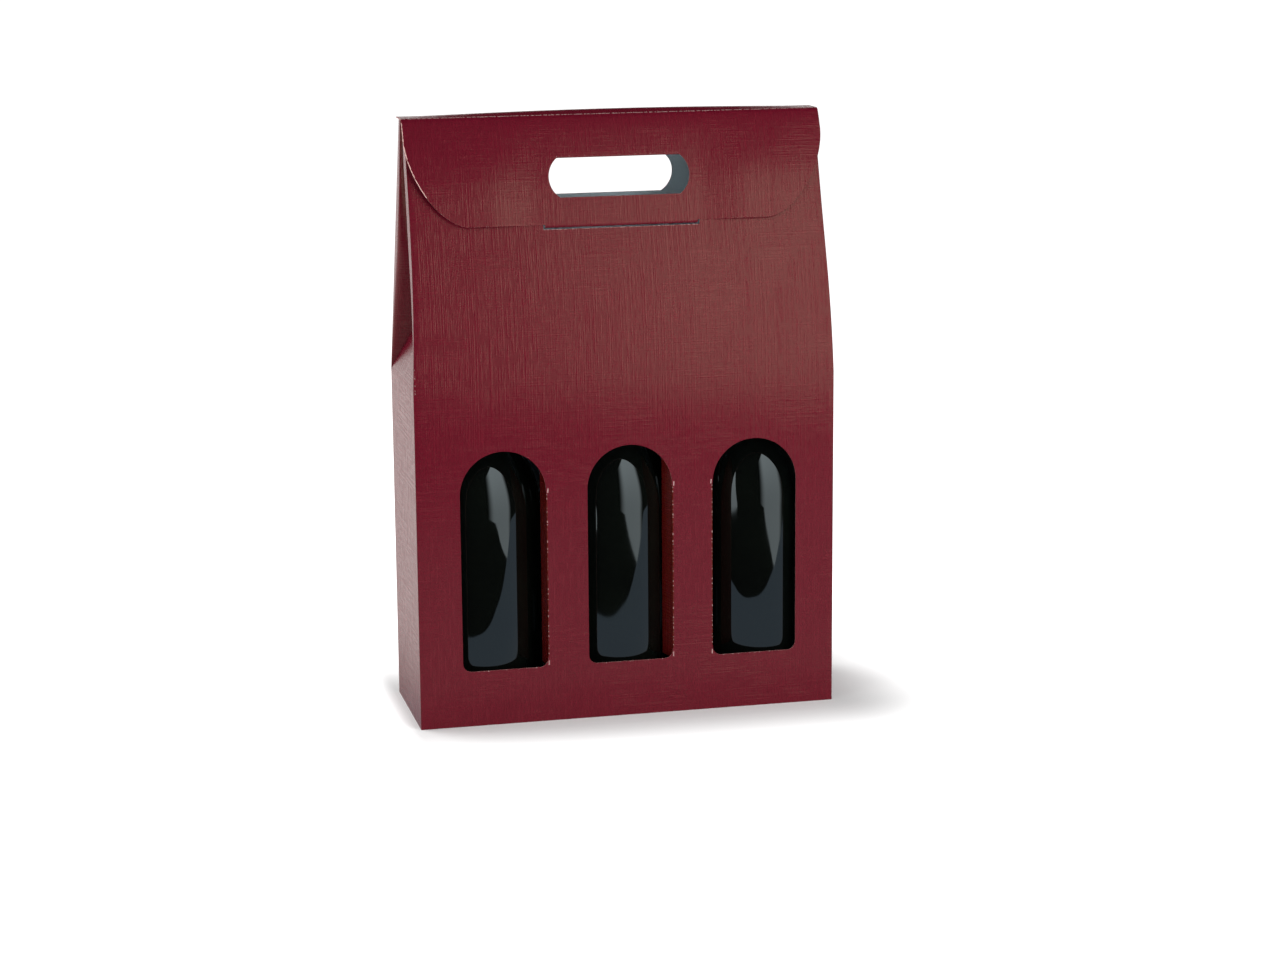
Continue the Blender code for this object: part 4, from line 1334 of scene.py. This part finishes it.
# %% Soft boxes
def soft_box(name, corner, across, up, radiance, fade_in=None, fade_out=None, foot=1.0):
    """A glowing rectangle that the camera doesn't see. Its glow fades in and out along its width
    (shares of it) and grows from foot at the bottom to 1 at the top, as on a real soft box."""
    corner, across, up = (np.array(v) for v in (corner, across, up))
    points = np.array([corner, corner + across, corner + across + up, corner + up])
    shares = np.array([[0, 0], [1, 0], [1, 1], [0, 1]], float)
    item = new_object(name, points, np.arange(4)[None, :], shares)
    made, tree, glow = emitter(name + "_glow")
    made.cycles.emission_sampling = "AUTO"
    share, height, _ = add_node(tree, "ShaderNodeSeparateXYZ", Vector=board_place(tree)).outputs
    strength = ramp(tree, height, 0.0, 1.0, radiance * foot, radiance)
    if fade_in:
        strength = maths(tree, "MULTIPLY", strength, ramp(tree, share, *fade_in))
    if fade_out:
        strength = maths(tree, "MULTIPLY", strength, ramp(tree, share, *fade_out, 1.0, 0.0))
    set_inputs(tree, glow, Strength=strength)
    item.data.materials.append(made)
    item.visible_camera = item.visible_transmission = item.visible_shadow = False


soft_box("soft_box_right", (0.05, -1.30, -0.10), (0.55, 0.77, 0.0), (0.0, 0.0, 1.06), 3.5,
         fade_in=(0.06, 0.44), fade_out=(0.88, 1.0), foot=0.66)
soft_box("soft_box_left", (-0.765, -0.59, -0.10), (0.17, -0.20, 0.0), (-0.10, 0.14, 0.93), 3.6, foot=0.7)
print("two soft boxes")

# %% Fills
def soft_fill(name, centre, across, up, radiance):
    """A rectangular lamp without a mirror image, given by its middle and two side vectors. Its power
    is pi x area x radiance, radiance being how bright its face looks."""
    centre, across, up = Vector(centre), Vector(across), Vector(up)
    lamp = bpy.data.lights.new(name, "AREA")
    lamp.shape = "RECTANGLE"
    lamp.size, lamp.size_y = across.length, up.length
    lamp.energy = math.pi * lamp.size * lamp.size_y * radiance
    item = bpy.data.objects.new(name, lamp)
    bpy.context.scene.collection.objects.link(item)
    side = across.normalized()
    away = side.cross(up).normalized()
    turned_to = Matrix((side, away.cross(side), away)).transposed().to_4x4()
    item.matrix_world = Matrix.Translation(centre) @ turned_to
    item.visible_glossy = item.visible_camera = False


soft_fill("fill_low_right", (0.40, -0.75, 0.13), (0.5, 0.22, 0.0), (0.0, 0.0, 0.25), 4.5)
soft_fill("fill_top_right", (0.35, -0.75, 1.35), (0.9, 0.2, 0.0), (0.0, 0.5, 0.35), 2.1)
soft_fill("fill_back_left", (-1.05, 0.75, 1.0), (-0.7, -0.95, 0.0), (0.5, -0.35, 0.8), 5.0)
print("three fills")

# %% [markdown]
# ## The camera
# The camera's place, direction and lens were worked out from the corners of the box in the
# photograph. It looks slightly down and from the left, with a long lens.

# %% Camera
eye, forward = Vector((-0.4137, -1.8272, 0.5481)), Vector((0.225, 0.9513, -0.2108)).normalized()
roll = math.radians(-0.42)
focal_pixels, image_width, sensor_width = 2972.8, 1280.0, 36.0
side_axis = forward.cross(Vector((0, 0, 1))).normalized()
up_axis = side_axis.cross(forward)
right_axis = side_axis * math.cos(roll) + up_axis * math.sin(roll)
top_axis = up_axis * math.cos(roll) - side_axis * math.sin(roll)
view = bpy.data.cameras.new("photo_view")
view.lens = focal_pixels * sensor_width / image_width
view.sensor_width = sensor_width
view.clip_start, view.clip_end = 0.05, 40.0
camera = bpy.data.objects.new("photo_view", view)
bpy.context.scene.collection.objects.link(camera)
camera_axes = Matrix((right_axis, top_axis, -forward)).transposed().to_4x4()
camera.matrix_world = Matrix.Translation(eye) @ camera_axes
bpy.context.scene.camera = camera
bpy.context.scene.view_settings.view_transform = "Standard"
print("lens", round(view.lens, 2), "mm")
